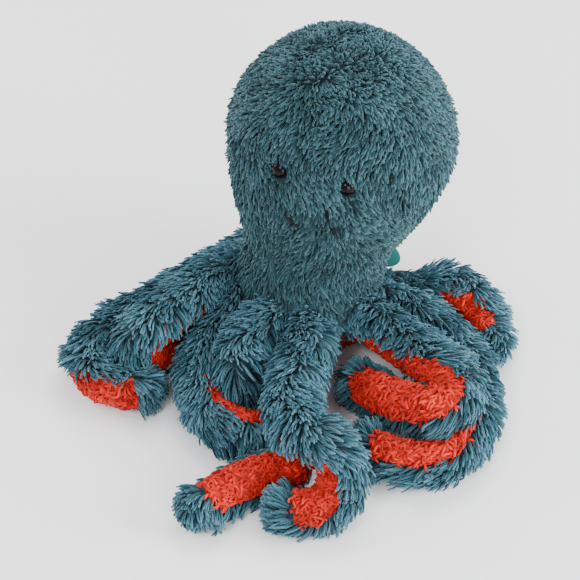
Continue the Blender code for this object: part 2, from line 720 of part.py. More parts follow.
    def root_hinge(self):
        """The line along the top of the root, where the arm lifts off the sack."""
        reach = np.hypot(self.curve[:, 0] - FOOT_X, self.curve[:, 1] - FOOT_Y)
        index = int(np.argmax(reach > NECK_RADIUS))
        heading = self.tangents[index] * np.array([1.0, 1.0, 0.0])
        axis = unit(np.cross(heading, (0.0, 0.0, 1.0)))
        return self.curve[index] + np.array([0.0, 0.0, ARM_RADIUS]), axis

    def elbow_hinge(self):
        """The line along the side towards which the tip bends."""
        centre = self.limb.centres[self.elbow_ring]
        heading = self.limb.tangents[self.elbow_ring]
        level = unit(np.cross(heading, (0.0, 0.0, 1.0)))
        towards = {"up": np.cross(level, heading), "left": -level, "right": level}[ELBOW_OPENS[self.name]]
        axis = unit(np.cross(heading, towards))
        return centre + towards * self.limb.radii[self.elbow_ring], axis


def add_hinge(name, spot, axis, group, carrier):
    """An empty on a joint's line, its Z axis along the line, carried by another hinge or by none."""
    hinge = bpy.data.objects.new(name, None)
    group.objects.link(hinge)
    turn = Vector(axis).to_track_quat("Z", "Y").to_matrix().to_4x4()
    hinge.matrix_world = Matrix.Translation(Vector(spot)) @ turn
    if carrier:
        carry(hinge, carrier)
    return hinge


def carry(item, hinge):
    """Parents an item to a hinge and leaves it where it stands."""
    item.parent = hinge
    item.matrix_parent_inverse = hinge.matrix_world.inverted()


def make_arms(group, guides, cutter):
    """The eight arms, each segment hung on its hinge where it has one."""
    for name in ARM_ROUTE_shares:
        arm = Arm(name)
        made = arm.build(group, cutter)
        root = None
        if name in LIFTING_ARMS:
            root = add_hinge(name + "_arm_lift", *arm.root_hinge(), guides, None)
        for segment, parts in made.items():
            hinge = root
            if segment.endswith("_tip"):
                hinge = add_hinge(name + "_arm_bend", *arm.elbow_hinge(), guides, root)
            if hinge:
                for item in parts:
                    carry(item, hinge)


def main():
    """Builds the octopus."""
    clear_scene()
    group = collection("plush_octopus")
    cutters = collection("cutters")
    guides = collection("hinges")
    sack = Sack()
    panels, stuffing = make_sack(group, sack)
    tree = panel_tree(panels)
    make_eyes(group, cutters, sack, tree, panels, stuffing)
    make_mouth(group, sack, tree)
    make_tag(group, sack, tree)
    make_arms(group, guides, sack_cutter(cutters, sack))


main()
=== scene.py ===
"""The looks of a plush octopus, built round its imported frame.

Long teal pile on a pear-shaped sack and eight curled arms, curled orange fleece under the arms,
domed eyes, a stitched smile and a bare side tag. Metres, +Z up, the face looks along -Y.
"""

import logging
import math
from dataclasses import dataclass, field
from enum import Enum

import bpy
import numpy as np
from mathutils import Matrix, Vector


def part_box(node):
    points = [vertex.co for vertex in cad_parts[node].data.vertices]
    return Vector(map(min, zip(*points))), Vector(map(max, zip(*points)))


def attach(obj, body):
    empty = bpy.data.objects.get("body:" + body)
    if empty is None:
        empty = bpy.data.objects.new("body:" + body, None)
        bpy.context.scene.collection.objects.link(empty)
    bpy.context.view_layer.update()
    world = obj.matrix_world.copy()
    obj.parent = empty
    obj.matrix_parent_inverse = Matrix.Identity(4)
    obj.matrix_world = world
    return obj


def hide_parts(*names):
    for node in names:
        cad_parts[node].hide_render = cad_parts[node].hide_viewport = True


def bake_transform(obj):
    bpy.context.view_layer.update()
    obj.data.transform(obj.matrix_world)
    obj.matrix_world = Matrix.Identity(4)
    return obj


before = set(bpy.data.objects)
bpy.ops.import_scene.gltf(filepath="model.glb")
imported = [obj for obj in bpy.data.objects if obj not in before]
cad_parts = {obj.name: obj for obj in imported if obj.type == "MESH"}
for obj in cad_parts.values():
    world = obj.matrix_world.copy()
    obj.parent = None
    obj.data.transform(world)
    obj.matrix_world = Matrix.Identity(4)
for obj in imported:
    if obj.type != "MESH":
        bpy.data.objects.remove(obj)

log = logging.getLogger("plush_octopus")
Array = np.ndarray
Triple = tuple[float, float, float]
Range = tuple[float, float]

MM = 0.001
UP = np.array([0.0, 0.0, 1.0])
FULL_TURN = 2 * math.pi
AROUND = (0.0, FULL_TURN)
FLOOR_CLEAR = 0.2 * MM
ROOT_LIFT = -0.5 * MM  # the pile's roots lie this far under the skin
FILLING_LIFT = -3.2 * MM  # the stuffing's face, under the skin
PATH_SAMPLES = 400
POLE = 0.9999  # how near to a pole the last ring of a round end stands
PLASTIC_RATIO = 1.32471795724  # step of the two-dimensional golden sequence
CELLS = 16  # tone cells along each side of a pile's map
SKIN_BAND = 0.15  # share of a map's height that holds the backing cloth
SKIN_TOP = SKIN_BAND - 0.01
LOCK_SIDES = 3
CLUMP_BLOCK = 1500  # roots whose clumps are looked up at once


def unit(vectors: Array) -> Array:
    """Scales vectors to length one."""
    return vectors / np.maximum(np.linalg.norm(vectors, axis=-1, keepdims=True), 1e-12)


def dots(first: Array, second: Array) -> Array:
    """Dot products of rows, kept as a column."""
    return np.sum(first * second, axis=-1, keepdims=True)


def smoothstep(values: Array, low: float, high: float) -> Array:
    """Rises from 0 at low to 1 at high as 3t^2 - 2t^3."""
    share = np.clip((values - low) / (high - low), 0.0, 1.0)
    return share * share * (3.0 - 2.0 * share)


def resampled(places: Array, rows_at: Array, table: Array) -> Array:
    """Reads every column of a table at places, on straight lines between its rows."""
    return np.stack([np.interp(places, rows_at, column) for column in table.T], axis=1)


def wrapped(angles: Array) -> Array:
    """Brings angles into the half turn on either side of 0."""
    return (angles + math.pi) % FULL_TURN - math.pi


class Ripple:
    """A smooth random field: the mean of plane waves with random ways and phases."""

    def __init__(self, wavelength: float, seed: int, count: int = 12) -> None:
        """Draws the waves.

        Args:
            wavelength: middle length of the waves, in metres.
            seed: start of the random numbers.
            count: number of waves.
        """
        rng = np.random.default_rng(seed)
        ways = unit(rng.normal(size=(count, 3)))
        self.waves = ways * (FULL_TURN / (wavelength * rng.uniform(0.75, 1.35, (count, 1))))
        self.phases = rng.uniform(0.0, FULL_TURN, count)
        self.count = count

    def value(self, points: Array) -> Array:
        """Field at each point: the sum of sin(w.p + phase), scaled to a spread of about 1."""
        return np.sin(points @ self.waves.T + self.phases).sum(axis=1) * math.sqrt(2 / self.count)

    def slope(self, points: Array) -> Array:
        """Way in which the field grows, as vectors of about length 1."""
        swing = np.cos(points @ self.waves.T + self.phases)
        scale = np.linalg.norm(self.waves, axis=1).mean() * math.sqrt(self.count / 6)
        return swing @ self.waves / scale


# Shader nodes and finishes


class Value:
    """A number socket that can be used in sums."""

    def __init__(self, graph: "Graph", socket: bpy.types.NodeSocket) -> None:
        """Wraps a socket of a graph."""
        self.graph = graph
        self.socket = socket

    def _join(self, operation: str, first: object, second: object) -> "Value":
        """Adds a Math node on two values or numbers."""
        return self.graph.value("ShaderNodeMath", {"operation": operation}, {0: first, 1: second})

    def __add__(self, other: object) -> "Value":
        """Sum."""
        return self._join("ADD", self, other)

    __radd__ = __add__

    def __sub__(self, other: object) -> "Value":
        """Difference."""
        return self._join("SUBTRACT", self, other)

    def __rsub__(self, other: object) -> "Value":
        """Difference from a number."""
        return self._join("SUBTRACT", other, self)

    def __mul__(self, other: object) -> "Value":
        """Product."""
        return self._join("MULTIPLY", self, other)

    __rmul__ = __mul__


class Graph:
    """The node tree of one material round a Principled shader."""

    def __init__(self, name: str) -> None:
        """Makes the material.

        Args:
            name: the material's name.
        """
        self.material = bpy.data.materials.new(name)
        self.material.use_nodes = True
        self.tree = self.material.node_tree
        self.shader = self.tree.nodes["Principled BSDF"]

    def node(self, kind: str, settings: dict[str, object], inputs: dict[object, object]) -> bpy.types.Node:
        """Adds a node, sets it, then fills or links its inputs.

        Args:
            kind: the node's type name.
            settings: properties, with a ramp's stops under "stops".
            inputs: a number, colour, Value or socket for each input, by name or index.

        Returns:
            The node.
        """
        made = self.tree.nodes.new(kind)
        for name, setting in settings.items():
            if name == "stops":
                self._set_stops(made.color_ramp, setting)
            else:
                setattr(made, name, setting)
        for key, given in inputs.items():
            self.put(made.inputs[key], given)
        return made

    def _set_stops(self, ramp: bpy.types.ColorRamp, stops: list[tuple[float, tuple]]) -> None:
        """Gives a ramp its stops."""
        for index, (place, colour) in enumerate(stops):
            stop = ramp.elements[index] if index < 2 else ramp.elements.new(place)
            stop.position = place
            stop.color = (*colour, 1.0)

    def put(self, socket: bpy.types.NodeSocket, given: object) -> None:
        """Links a value or socket to an input, or sets it to a number or colour."""
        if isinstance(given, Value):
            given = given.socket
        if isinstance(given, bpy.types.NodeSocket):
            self.tree.links.new(given, socket)
        elif isinstance(given, tuple) and socket.type == "RGBA":
            socket.default_value = (*given, 1.0)
        else:
            socket.default_value = given

    def value(
        self, kind: str, settings: dict[str, object], inputs: dict[object, object], out: object = 0
    ) -> Value:
        """Adds a node and gives one of its outputs as a Value."""
        return Value(self, self.node(kind, settings, inputs).outputs[out])

    def attribute(self, name: str) -> Value:
        """A number that the piece carries on its points."""
        return self.value("ShaderNodeAttribute", {"attribute_name": name}, {}, "Fac")

    def mixed(self, factor: object, low: object, high: object, blend: str = "MIX") -> bpy.types.NodeSocket:
        """Mixes two colours.

        Args:
            factor: share of the second colour.
            low: first colour.
            high: second colour.
            blend: the way in which they are mixed.

        Returns:
            The mixed colour's socket.
        """
        settings = {"data_type": "RGBA", "blend_type": blend}
        return self.node("ShaderNodeMix", settings, {0: factor, 6: low, 7: high}).outputs[2]

    def noise(self, vector: object, scale: float, detail: float) -> Value:
        """Noise from 0 to 1 at a scale."""
        return self.value("ShaderNodeTexNoise", {}, {"Vector": vector, "Scale": scale, "Detail": detail})

    def place(self) -> bpy.types.NodeSocket:
        """The point in the object's own coordinates, in metres."""
        return self.node("ShaderNodeTexCoord", {}, {}).outputs["Object"]

    def bump(self, height: Value, distance: float, strength: float = 1.0) -> bpy.types.NodeSocket:
        """A normal bent by a height."""
        inputs = {"Height": height, "Distance": distance, "Strength": strength}
        return self.node("ShaderNodeBump", {}, inputs).outputs["Normal"]

    def dress(self, **inputs: object) -> bpy.types.Material:
        """Fills the shader's inputs, with spaces in their names written as underscores.

        Returns:
            The finished material.
        """
        for name, given in inputs.items():
            self.put(self.shader.inputs[name.replace("_", " ")], given)
        return self.material


@dataclass(frozen=True)
class PileFinish:
    """Pile with painted shade at its root and a painted highlight towards its tip, each lock of its own
    tone.
    """

    name: str
    root: Triple
    body: Triple
    tip: Triple
    roughness: float = 0.72
    sheen: float = 0.24
    sheen_tint: Triple = (0.60, 0.92, 1.00)
    strand_count: float = 9.0
    strand_depth: float = 0.25 * MM
    reach_share: float = 0.62
    tone_share: float = 0.42
    streak_share: float = 0.5
    darker: float = 0.06
    body_stop: float = 0.42

    def material(self) -> bpy.types.Material:
        """Colour runs from painted shade at the root to a painted highlight at the tip, is shifted by tone,
        and is streaked along the strands.
        """
        graph = Graph(self.name)
        reach = graph.attribute("reach")
        tone = graph.attribute("tone")
        strand = graph.attribute("strand")
        parts = {0: strand * self.strand_count, 1: reach * 1.5, 2: tone * 3.0}
        spot = graph.node("ShaderNodeCombineXYZ", {}, parts)
        streak = graph.noise(spot.outputs[0], 1.0, 2.0)
        # reach carries the painted shade at the root and the painted highlight at the tip; tone is each
        # lock's own random tone.
        lighter = reach * self.reach_share + tone * self.tone_share
        level = lighter + (streak - 0.5) * self.streak_share - self.darker
        stops = [(0.0, self.root), (self.body_stop, self.body), (1.0, self.tip)]
        ramp = graph.node("ShaderNodeValToRGB", {"stops": stops}, {0: level})
        return graph.dress(
            Base_Color=ramp.outputs[0],
            Roughness=streak * 0.2 + (self.roughness - 0.1),
            Normal=graph.bump(streak, self.strand_depth, 0.6),
            Specular_IOR_Level=0.2,
            Sheen_Weight=self.sheen,
            Sheen_Roughness=0.45,
            Sheen_Tint=self.sheen_tint,
        )


@dataclass(frozen=True)
class PlasticFinish:
    """Moulded plastic with fine mould grain."""

    name: str
    colour: Triple
    edge: Triple
    roughness: float
    shine: float = 0.5
    grain_scale: float = 900.0

    def material(self) -> bpy.types.Material:
        """Two near tones and a faint grain."""
        graph = Graph(self.name)
        place = graph.place()
        cloud = graph.noise(place, self.grain_scale / 4, 2.0)
        grain = graph.noise(place, self.grain_scale, 3.0)
        return graph.dress(
            Base_Color=graph.mixed(cloud, self.colour, self.edge),
            Roughness=grain * 0.06 + self.roughness,
            Normal=graph.bump(grain, 0.02 * MM, 0.3),
            Specular_IOR_Level=self.shine,
        )


@dataclass(frozen=True)
class WovenFinish:
    """Plain-woven cloth whose threads follow two coordinates of the piece's own map."""

    name: str
    dark: Triple
    light: Triple
    threads: float
    depth: float = 0.12 * MM
    roughness: float = 0.75
    sheen: float = 0.2

    def material(self) -> bpy.types.Material:
        """Warp and weft are sine ridges across u and v, whose product gives the weave."""
        graph = Graph(self.name)
        chart = graph.node("ShaderNodeUVMap", {"uv_map": "cloth"}, {}).outputs[0]
        split = graph.node("ShaderNodeSeparateXYZ", {}, {0: chart})
        across, along = (Value(graph, split.outputs[index]) for index in (0, 1))
        turns = self.threads * FULL_TURN
        warp = graph.value("ShaderNodeMath", {"operation": "SINE"}, {0: across * turns})
        weft = graph.value("ShaderNodeMath", {"operation": "SINE"}, {0: along * turns})
        weave = warp * weft * 0.5 + 0.5
        wear = graph.noise(graph.place(), 400.0, 3.0)
        return graph.dress(
            Base_Color=graph.mixed(weave * 0.5 + wear * 0.5, self.dark, self.light),
            Roughness=wear * 0.15 + (self.roughness - 0.07),
            Normal=graph.bump(weave, self.depth, 0.7),
            Specular_IOR_Level=0.3,
            Sheen_Weight=self.sheen,
        )


@dataclass(frozen=True)
class FibreFinish:
    """Loose crimped fibre, as in stuffing."""

    name: str
    shade: Triple
    light: Triple

    def material(self) -> bpy.types.Material:
        """Fine fibres are stretched noise, clouded by a coarser one."""
        graph = Graph(self.name)
        place = graph.place()
        cloud = graph.noise(place, 90.0, 3.0)
        fibre = graph.noise(place, 900.0, 5.0)
        return graph.dress(
            Base_Color=graph.mixed(cloud * 0.5 + fibre * 0.5, self.shade, self.light),
            Roughness=fibre * 0.1 + 0.88,
            Normal=graph.bump(fibre + cloud, 0.8 * MM, 0.8),
        )


class Finishes:
    """Every finish of the toy, made once."""

    def __init__(self) -> None:
        """Makes the materials."""
        # Root colours are painted shade between the locks and tip colours painted highlights; each body
        # colour is the fabric's own.
        self.sack_pile = PileFinish(
            "sack_pile", (0.0005, 0.007, 0.010), (0.0075, 0.041, 0.052), (0.051, 0.131, 0.154)
        ).material()
        # The arm pile is the sack's teal fabric painted lighter and bluer: painted light for the brighter
        # light on the lower arms.
        self.arm_pile = PileFinish(
            "arm_pile", (0.0008, 0.009, 0.014), (0.013, 0.068, 0.095), (0.101, 0.237, 0.310)
        ).material()
        self.fleece = PileFinish(
            "orange_fleece", (0.120, 0.001, 0.0005), (0.480, 0.011, 0.004), (0.960, 0.075, 0.040),
            roughness=0.85, sheen=0.10, sheen_tint=(1.0, 0.5, 0.4), strand_count=3.0,
        ).material()
        self.eye = PlasticFinish(
            "eye_plastic", (0.0006, 0.0012, 0.0018), (0.0030, 0.0022, 0.0028), 0.05, 0.12
        ).material()
        self.washer = PlasticFinish(
            "washer_plastic", (0.62, 0.62, 0.60), (0.74, 0.74, 0.72), 0.42
        ).material()
        self.thread = WovenFinish(
            "mouth_thread", (0.0005, 0.001, 0.0015), (0.004, 0.007, 0.009), 14.0, sheen=0.0
        ).material()
        self.tag = WovenFinish(
            "tag_cloth", (0.001, 0.062, 0.056), (0.004, 0.122, 0.110), 30.0, sheen=0.05
        ).material()
        self.pouch = WovenFinish("pouch_cloth", (0.20, 0.20, 0.21), (0.38, 0.38, 0.40), 60.0).material()
        self.fibre = FibreFinish("stuffing_fibre", (0.62, 0.62, 0.60), (0.86, 0.86, 0.84)).material()


# Meshes


@dataclass
class Patch:
    """A block of mesh: points with their values, and faces with their places on the map."""

    points: Array
    quads: Array
    quad_map: Array
    triangles: Array
    triangle_map: Array
    tones: Array
    reaches: Array
    strands: Array


def finished(mesh: bpy.types.Mesh, material: bpy.types.Material) -> bpy.types.Object:
    """Shades a mesh smooth, gives it its finish and puts it into the scene under its own name."""
    mesh.shade_smooth()
    mesh.materials.append(material)
    made = bpy.data.objects.new(mesh.name, mesh)
    bpy.context.scene.collection.objects.link(made)
    return made


def settle(made: bpy.types.Object, body: str, node: str) -> None:
    """Ties a piece to the part and reports it.

    Args:
        made: the piece.
        body: the body that it rides on.
        node: the CAD node that it stands for.
    """
    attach(made, body)
    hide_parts(node)
    log.info("%s: stands for %s", made.name, node)


def grid_faces(rows: int, columns: int, height: int, width: int) -> tuple[Array, Array]:
    """Faces of a grid of points, which closes where it has as many faces as points.

    The face at a row and a column has the corners (r, c), (r, c + 1), (r + 1, c + 1), (r + 1, c),
    counted round the grid.

    Args:
        rows: rows of faces.
        columns: columns of faces.
        height: rows of points.
        width: columns of points.

    Returns:
        The faces' corners, and the corners' column and row.
    """
    row, column = (part.ravel() for part in np.meshgrid(np.arange(rows), np.arange(columns), indexing="ij"))
    after_row, after = (row + 1) % height, (column + 1) % width
    quads = np.stack([
        row * width + column, row * width + after, after_row * width + after, after_row * width + column,
    ], axis=1)
    places = np.stack([
        np.stack([column, column + 1, column + 1, column], axis=1),
        np.stack([row, row, row + 1, row + 1], axis=1),
    ], axis=-1)
    return quads, places


def piece(name: str, patches: list[Patch], material: bpy.types.Material) -> bpy.types.Object:
    """Joins patches into one smooth-shaded object.

    Args:
        name: the piece's name.
        patches: its blocks of mesh.
        material: its finish.

    Returns:
        The object, at the origin, with the values and the map that its finish reads.
    """
    starts = np.cumsum([0] + [len(patch.points) for patch in patches])
    corners = [patch.quads.ravel() + start for patch, start in zip(patches, starts)]
    corners += [patch.triangles.ravel() + start for patch, start in zip(patches, starts)]
    places = [patch.quad_map.reshape(-1, 2) for patch in patches]
    places += [patch.triangle_map.reshape(-1, 2) for patch in patches]
    quad_count = sum(len(patch.quads) for patch in patches)
    triangle_count = sum(len(patch.triangles) for patch in patches)
    sizes = np.repeat([4, 3], [quad_count, triangle_count])
    mesh = bpy.data.meshes.new(name)
    mesh.vertices.add(int(starts[-1]))
    mesh.vertices.foreach_set("co", np.concatenate([patch.points for patch in patches]).ravel())
    mesh.loops.add(int(sizes.sum()))
    mesh.loops.foreach_set("vertex_index", np.concatenate(corners))
    mesh.polygons.add(len(sizes))
    mesh.polygons.foreach_set("loop_start", np.cumsum(sizes) - sizes)
    mesh.update(calc_edges=True)
    chart = mesh.uv_layers.new(name="OFBake")
    chart.data.foreach_set("uv", np.concatenate(places).ravel())
    for name_on_mesh, label in (("tone", "tones"), ("reach", "reaches"), ("strand", "strands")):
        values = np.concatenate([getattr(patch, label) for patch in patches])
        carried_values = mesh.attributes.new(name_on_mesh, "FLOAT", "POINT")
        carried_values.data.foreach_set("value", values.astype(np.float32))
    return finished(mesh, material)


def surface_object(
    name: str, grid: Array, material: bpy.types.Material, loop_u: bool = False, loop_v: bool = False
) -> bpy.types.Object:
    """Makes an object from a grid of points.

    Args:
        name: the piece's name.
        grid: points as rows (v) by columns (u) by 3.
        material: its finish.
        loop_u: whether the columns close into a ring.
        loop_v: whether the rows close into a ring.

    Returns:
        The object, with a map called cloth whose u and v run 0 to 1 over the grid.
    """
    rows, columns = grid.shape[:2]
    quads, places = grid_faces(rows - (not loop_v), columns - (not loop_u), rows, columns)
    mesh = bpy.data.meshes.new(name)
    mesh.from_pydata(grid.reshape(-1, 3).tolist(), [], quads.tolist())
    chart = mesh.uv_layers.new(name="cloth")
    chart.data.foreach_set("uv", (places / [columns, rows]).ravel())
    return finished(mesh, material)


def stood(grid: Array, across: Array, over: Array, look: Array) -> Array:
    """Stands a grid up: its x, y and z run across, over and along the look."""
    return grid[..., :1] * across + grid[..., 1:2] * over + grid[..., 2:] * look


def turned_grid(profile: Array, steps: int) -> Array:
    """Turns a profile of radius and height about Z: point = (r cos a, r sin a, h) for each angle a."""
    angles = np.linspace(0.0, FULL_TURN, steps, endpoint=False)
    ring = np.stack([np.cos(angles), np.sin(angles), np.zeros(steps)], axis=1)
    return profile[:, :1, None] * ring[None] + profile[:, 1:, None] * UP


def tube_grid(centres: Array, radii: Array, sides: int) -> Array:
    """Carries a circle along a path: point = centre + r (cos a * across + sin a * over)."""
    ways = unit(np.gradient(centres, axis=0))
    across = unit(np.cross(ways, UP + 1e-4))
    over = np.cross(across, ways)
    angles = np.linspace(0.0, FULL_TURN, sides, endpoint=False)
    cosines, sines = np.cos(angles)[None, :, None], np.sin(angles)[None, :, None]
    return centres[:, None] + (cosines * across[:, None] + sines * over[:, None]) * radii[:, None, None]


class Limb:
    """A stuffed tube: path, frame, radius and lean of the skin at fine steps along it."""

    def __init__(
        self, places: Array, centres: Array, tangents: Array, unders: Array, radii: Array, slants: Array
    ) -> None:
        """Keeps the samples.

        Args:
            places: distance along the limb of each sample.
            centres: points of the path.
            tangents: ways along the path.
            unders: ways to the underside, where angles start.
            radii: radius at each sample.
            slants: angle by which the skin's normal leans along the path.
        """
        self.places = places
        self.length = float(places[-1])
        unders = unit(unders - tangents * dots(unders, tangents))
        self.table = np.concatenate(
            [centres, tangents, unders, radii[:, None], slants[:, None]], axis=1
        )

    def read(self, places: Array) -> tuple[Array, Array, Array, Array, Array]:
        """Centre, tangent, under, radius and slant at places along the limb."""
        flat = np.ravel(places)
        values = resampled(flat, self.places, self.table).reshape(*np.shape(places), -1)
        tangents = unit(values[..., 3:6])
        unders = unit(values[..., 6:9])
        return values[..., 0:3], tangents, unders, values[..., 9:10], values[..., 10:11]

    def surface(self, places: Array, angles: Array, lift: Array | float) -> tuple[Array, Array, Array]:
        """Points on the skin.

        The point at a place and an angle is centre + spoke * r, where the spoke is
        under * cos(angle) + right * sin(angle), then moved by lift along the normal.

        Args:
            places: distances along the limb.
            angles: angles from the underside, of the same shape.
            lift: height above the skin.

        Returns:
            Points, normals and tangents along the limb.
        """
        centres, tangents, unders, radii, slants = self.read(places)
        rights = np.cross(tangents, -unders)
        spokes = unders * np.cos(angles)[..., None] + rights * np.sin(angles)[..., None]
        normals = spokes * np.cos(slants) + tangents * np.sin(slants)
        along = tangents * np.cos(slants) - spokes * np.sin(slants)
        return centres + spokes * radii + normals * np.asarray(lift)[..., None], normals, along

    def scatter(
        self, span: Range, edges: "Edges", spacing: float, seed: int
    ) -> tuple[Array, Array]:
        """Spreads roots evenly: a two-dimensional golden sequence, warped by the skin's area.

        Args:
            span: first and last place.
            edges: the panel's low and high angle at each place.
            spacing: distance between roots.
            seed: start of the random numbers.

        Returns:
            Places and angles of the roots.
        """
        grid = np.linspace(span[0], span[1], 600)
        _, _, _, radii, slants = self.read(grid)
        low, high = edges(grid)
        weight = (high - low) * (radii / np.maximum(np.cos(slants), 0.05))[:, 0]
        area = np.concatenate([[0.0], np.cumsum((weight[1:] + weight[:-1]) / 2 * np.diff(grid))])
        count = max(int(area[-1] / spacing ** 2), 1)
        rng = np.random.default_rng(seed)
        index = np.arange(count)
        shift = rng.normal(0.0, 0.1 / math.sqrt(count), count)
        along = np.modf(0.5 + index / PLASTIC_RATIO + shift)[0] % 1.0
        around = np.modf(0.5 + index / PLASTIC_RATIO ** 2)[0]
        places = np.interp(along * area[-1], area, grid)
        low, high = edges(places)
        angles = low + around * (high - low) + rng.normal(0.0, 0.12, count) * spacing / 0.03
        return places, angles


@dataclass(frozen=True)
class Edges:
    """The two edge angles of a panel along a limb.

    Attributes:
        low: first edge's angle.
        high: last edge's angle.
        close_at: place past which a mirrored pair of edges has drawn in.
        closed: the low edge's angle there.
    """

    low: float
    high: float
    close_at: float = math.inf
    closed: float = 0.0

    def __call__(self, places: Array) -> tuple[Array, Array]:
        """Low and high angle at each place."""
        if self.close_at == math.inf:
            return self.low + 0.0 * places, self.high + 0.0 * places
        shut = smoothstep(places, self.close_at - 8 * MM, self.close_at)
        moved = (self.closed - self.low) * shut
        return self.low + moved, self.high - moved


@dataclass(frozen=True)
class Pile:
    """How one pile grows: its locks' size, spacing, lean, curl and clumps.

    Attributes:
        spacing: distance between roots.
        length: length of a lock.
        width: width of a lock.
        lean_root: angle from the skin's normal at the root, where the pile lies flat.
        lean_tip: the same at the tip.
        stand: angle of a tip where the pile stands up.
        curl: sideways swing of a lock's way.
        clump_size: distance between clumps.
        clump_pull: share of the way to its clump's middle that a tip is drawn.
        unrest: random share of a lock's way.
        stations: shares of the length at which its rings stand.
        widths: width at each ring, as shares of the width.
    """

    spacing: float
    length: float
    width: float
    lean_root: float
    lean_tip: float
    stand: float
    curl: float
    clump_size: float
    clump_pull: float
    unrest: float
    stations: tuple[float, ...] = (0.0, 0.40, 0.72, 0.95, 1.0)
    widths: tuple[float, ...] = (0.80, 1.0, 1.06, 0.86)

    def grow(self, roots: Array, normals: Array, flows: Array, lengths: Array, seed: int) -> Patch:
        """Grows a blunt lock from each root.

        A lock's way leans from the normal to the flow, more towards its tip, and swings aside as a
        sine of the share along it. Its centre line is the running sum of these ways, drawn to its
        clump's middle by a power of the share. Round it stand three-cornered rings, and the last
        point closes it.

        Args:
            roots: points on the skin.
            normals: the skin's normals there.
            flows: ways in which the pile lies, of length 1 where it lies flat and 0 where it stands.
            lengths: length of each lock.
            seed: start of the random numbers.

        Returns:
            The locks as one patch.
        """
        rng = np.random.default_rng(seed)
        count = len(roots)
        flat = np.clip(np.linalg.norm(flows, axis=1, keepdims=True), 0.0, 1.0)
        drift = unit(flows) * np.maximum(flat, 0.3) + rng.normal(0.0, self.unrest, (count, 3))
        way = unit(drift - normals * dots(drift, normals))
        side = np.cross(normals, way)
        stations = np.array(self.stations)
        middles = (stations[1:] + stations[:-1]) / 2
        lean_root = self.lean_root * flat
        lean_tip = self.stand + (self.lean_tip - self.stand) * flat
        lean = lean_root + (lean_tip - lean_root) * middles + rng.normal(0.0, 0.13, (count, 1))
        phase = rng.uniform(0.0, FULL_TURN, (count, 1))
        swing = self.curl * np.sin(phase + middles * 4.5) * rng.uniform(0.3, 1.0, (count, 1))
        ways = normals[:, None] * np.cos(lean)[..., None] + way[:, None] * np.sin(lean)[..., None]
        ways = unit(ways + side[:, None] * swing[..., None])
        steps = ways * (lengths[:, None] * np.diff(stations))[..., None]
        centres = np.concatenate([roots[:, None], roots[:, None] + np.cumsum(steps, axis=1)], axis=1)
        pull = self.clump_pull * rng.uniform(0.6, 1.2, (count, 1, 1)) * (stations ** 1.4)[:, None]
        centres = centres + (self.clump_middles(roots, seed) - roots)[:, None] * pull
        ways = unit(np.gradient(centres, axis=1))[:, :-1]
        across = unit(np.cross(ways, side[:, None] + normals[:, None] * 0.3))
        over = np.cross(across, ways)
        thick = self.width / 2 * rng.uniform(0.72, 1.25, (count, 1)) * np.array(self.widths)
        roll = rng.uniform(0.0, FULL_TURN, (count, 1, 1))
        angles = roll + np.arange(LOCK_SIDES) * (FULL_TURN / LOCK_SIDES)
        cosines, sines = np.cos(angles)[..., None], np.sin(angles)[..., None]
        spokes = cosines * across[:, :, None] + sines * over[:, :, None]
        body = centres[:, :-1, None] + spokes * thick[..., None, None]
        points = np.concatenate([body.reshape(count, -1, 3), centres[:, -1:]], axis=1)
        return self._patch(points, roots, len(stations), seed)

    def clump_middles(self, roots: Array, seed: int) -> Array:
        """The nearest of a thin random choice of roots, as each root's clump."""
        rng = np.random.default_rng(seed + 9)
        share = (self.spacing / self.clump_size) ** 2
        chosen = roots[rng.random(len(roots)) < max(share, 2 / max(len(roots), 1))]
        if not len(chosen):
            return roots
        middles = np.empty_like(roots)
        for start in range(0, len(roots), CLUMP_BLOCK):
            part = roots[start:start + CLUMP_BLOCK]
            apart = ((part[:, None] - chosen[None]) ** 2).sum(axis=2)
            middles[start:start + CLUMP_BLOCK] = chosen[apart.argmin(axis=1)]
        return middles

    def _patch(self, points: Array, roots: Array, rings: int, seed: int) -> Patch:
        """Faces, tones and map of the locks.

        Locks of one tone share a cell of the map, because they look the same: the tone is a slow
        ripple over the skin plus a random share, cut into cells.
        """
        rng = np.random.default_rng(seed + 2)
        count, per_lock = points.shape[:2]
        tone = 0.5 + 0.16 * Ripple(28 * MM, seed + 3).value(roots) + rng.normal(0.0, 0.19, count)
        rank = np.clip((tone * CELLS ** 2).astype(int), 0, CELLS ** 2 - 1)
        base = np.arange(count)[:, None] * per_lock
        quad, quad_place = grid_faces(rings - 2, LOCK_SIDES, rings, LOCK_SIDES)
        quads = (base[..., None] + quad[None]).reshape(-1, 4)
        top = (rings - 2) * LOCK_SIDES
        sides = np.arange(LOCK_SIDES)
        peak = np.full(LOCK_SIDES, top + LOCK_SIDES)
        tip = np.stack([top + sides, top + (sides + 1) % LOCK_SIDES, peak], axis=1)
        triangles = (base[..., None] + tip[None]).reshape(-1, 3)
        cell = np.stack([rank % CELLS, rank // CELLS], axis=1) / CELLS
        tip_place = np.stack([
            np.stack([sides, sides + 1, sides + 0.5], axis=1),
            np.tile([rings - 2, rings - 2, rings - 1], (LOCK_SIDES, 1)),
        ], axis=-1)
        steps = [LOCK_SIDES, rings - 1]
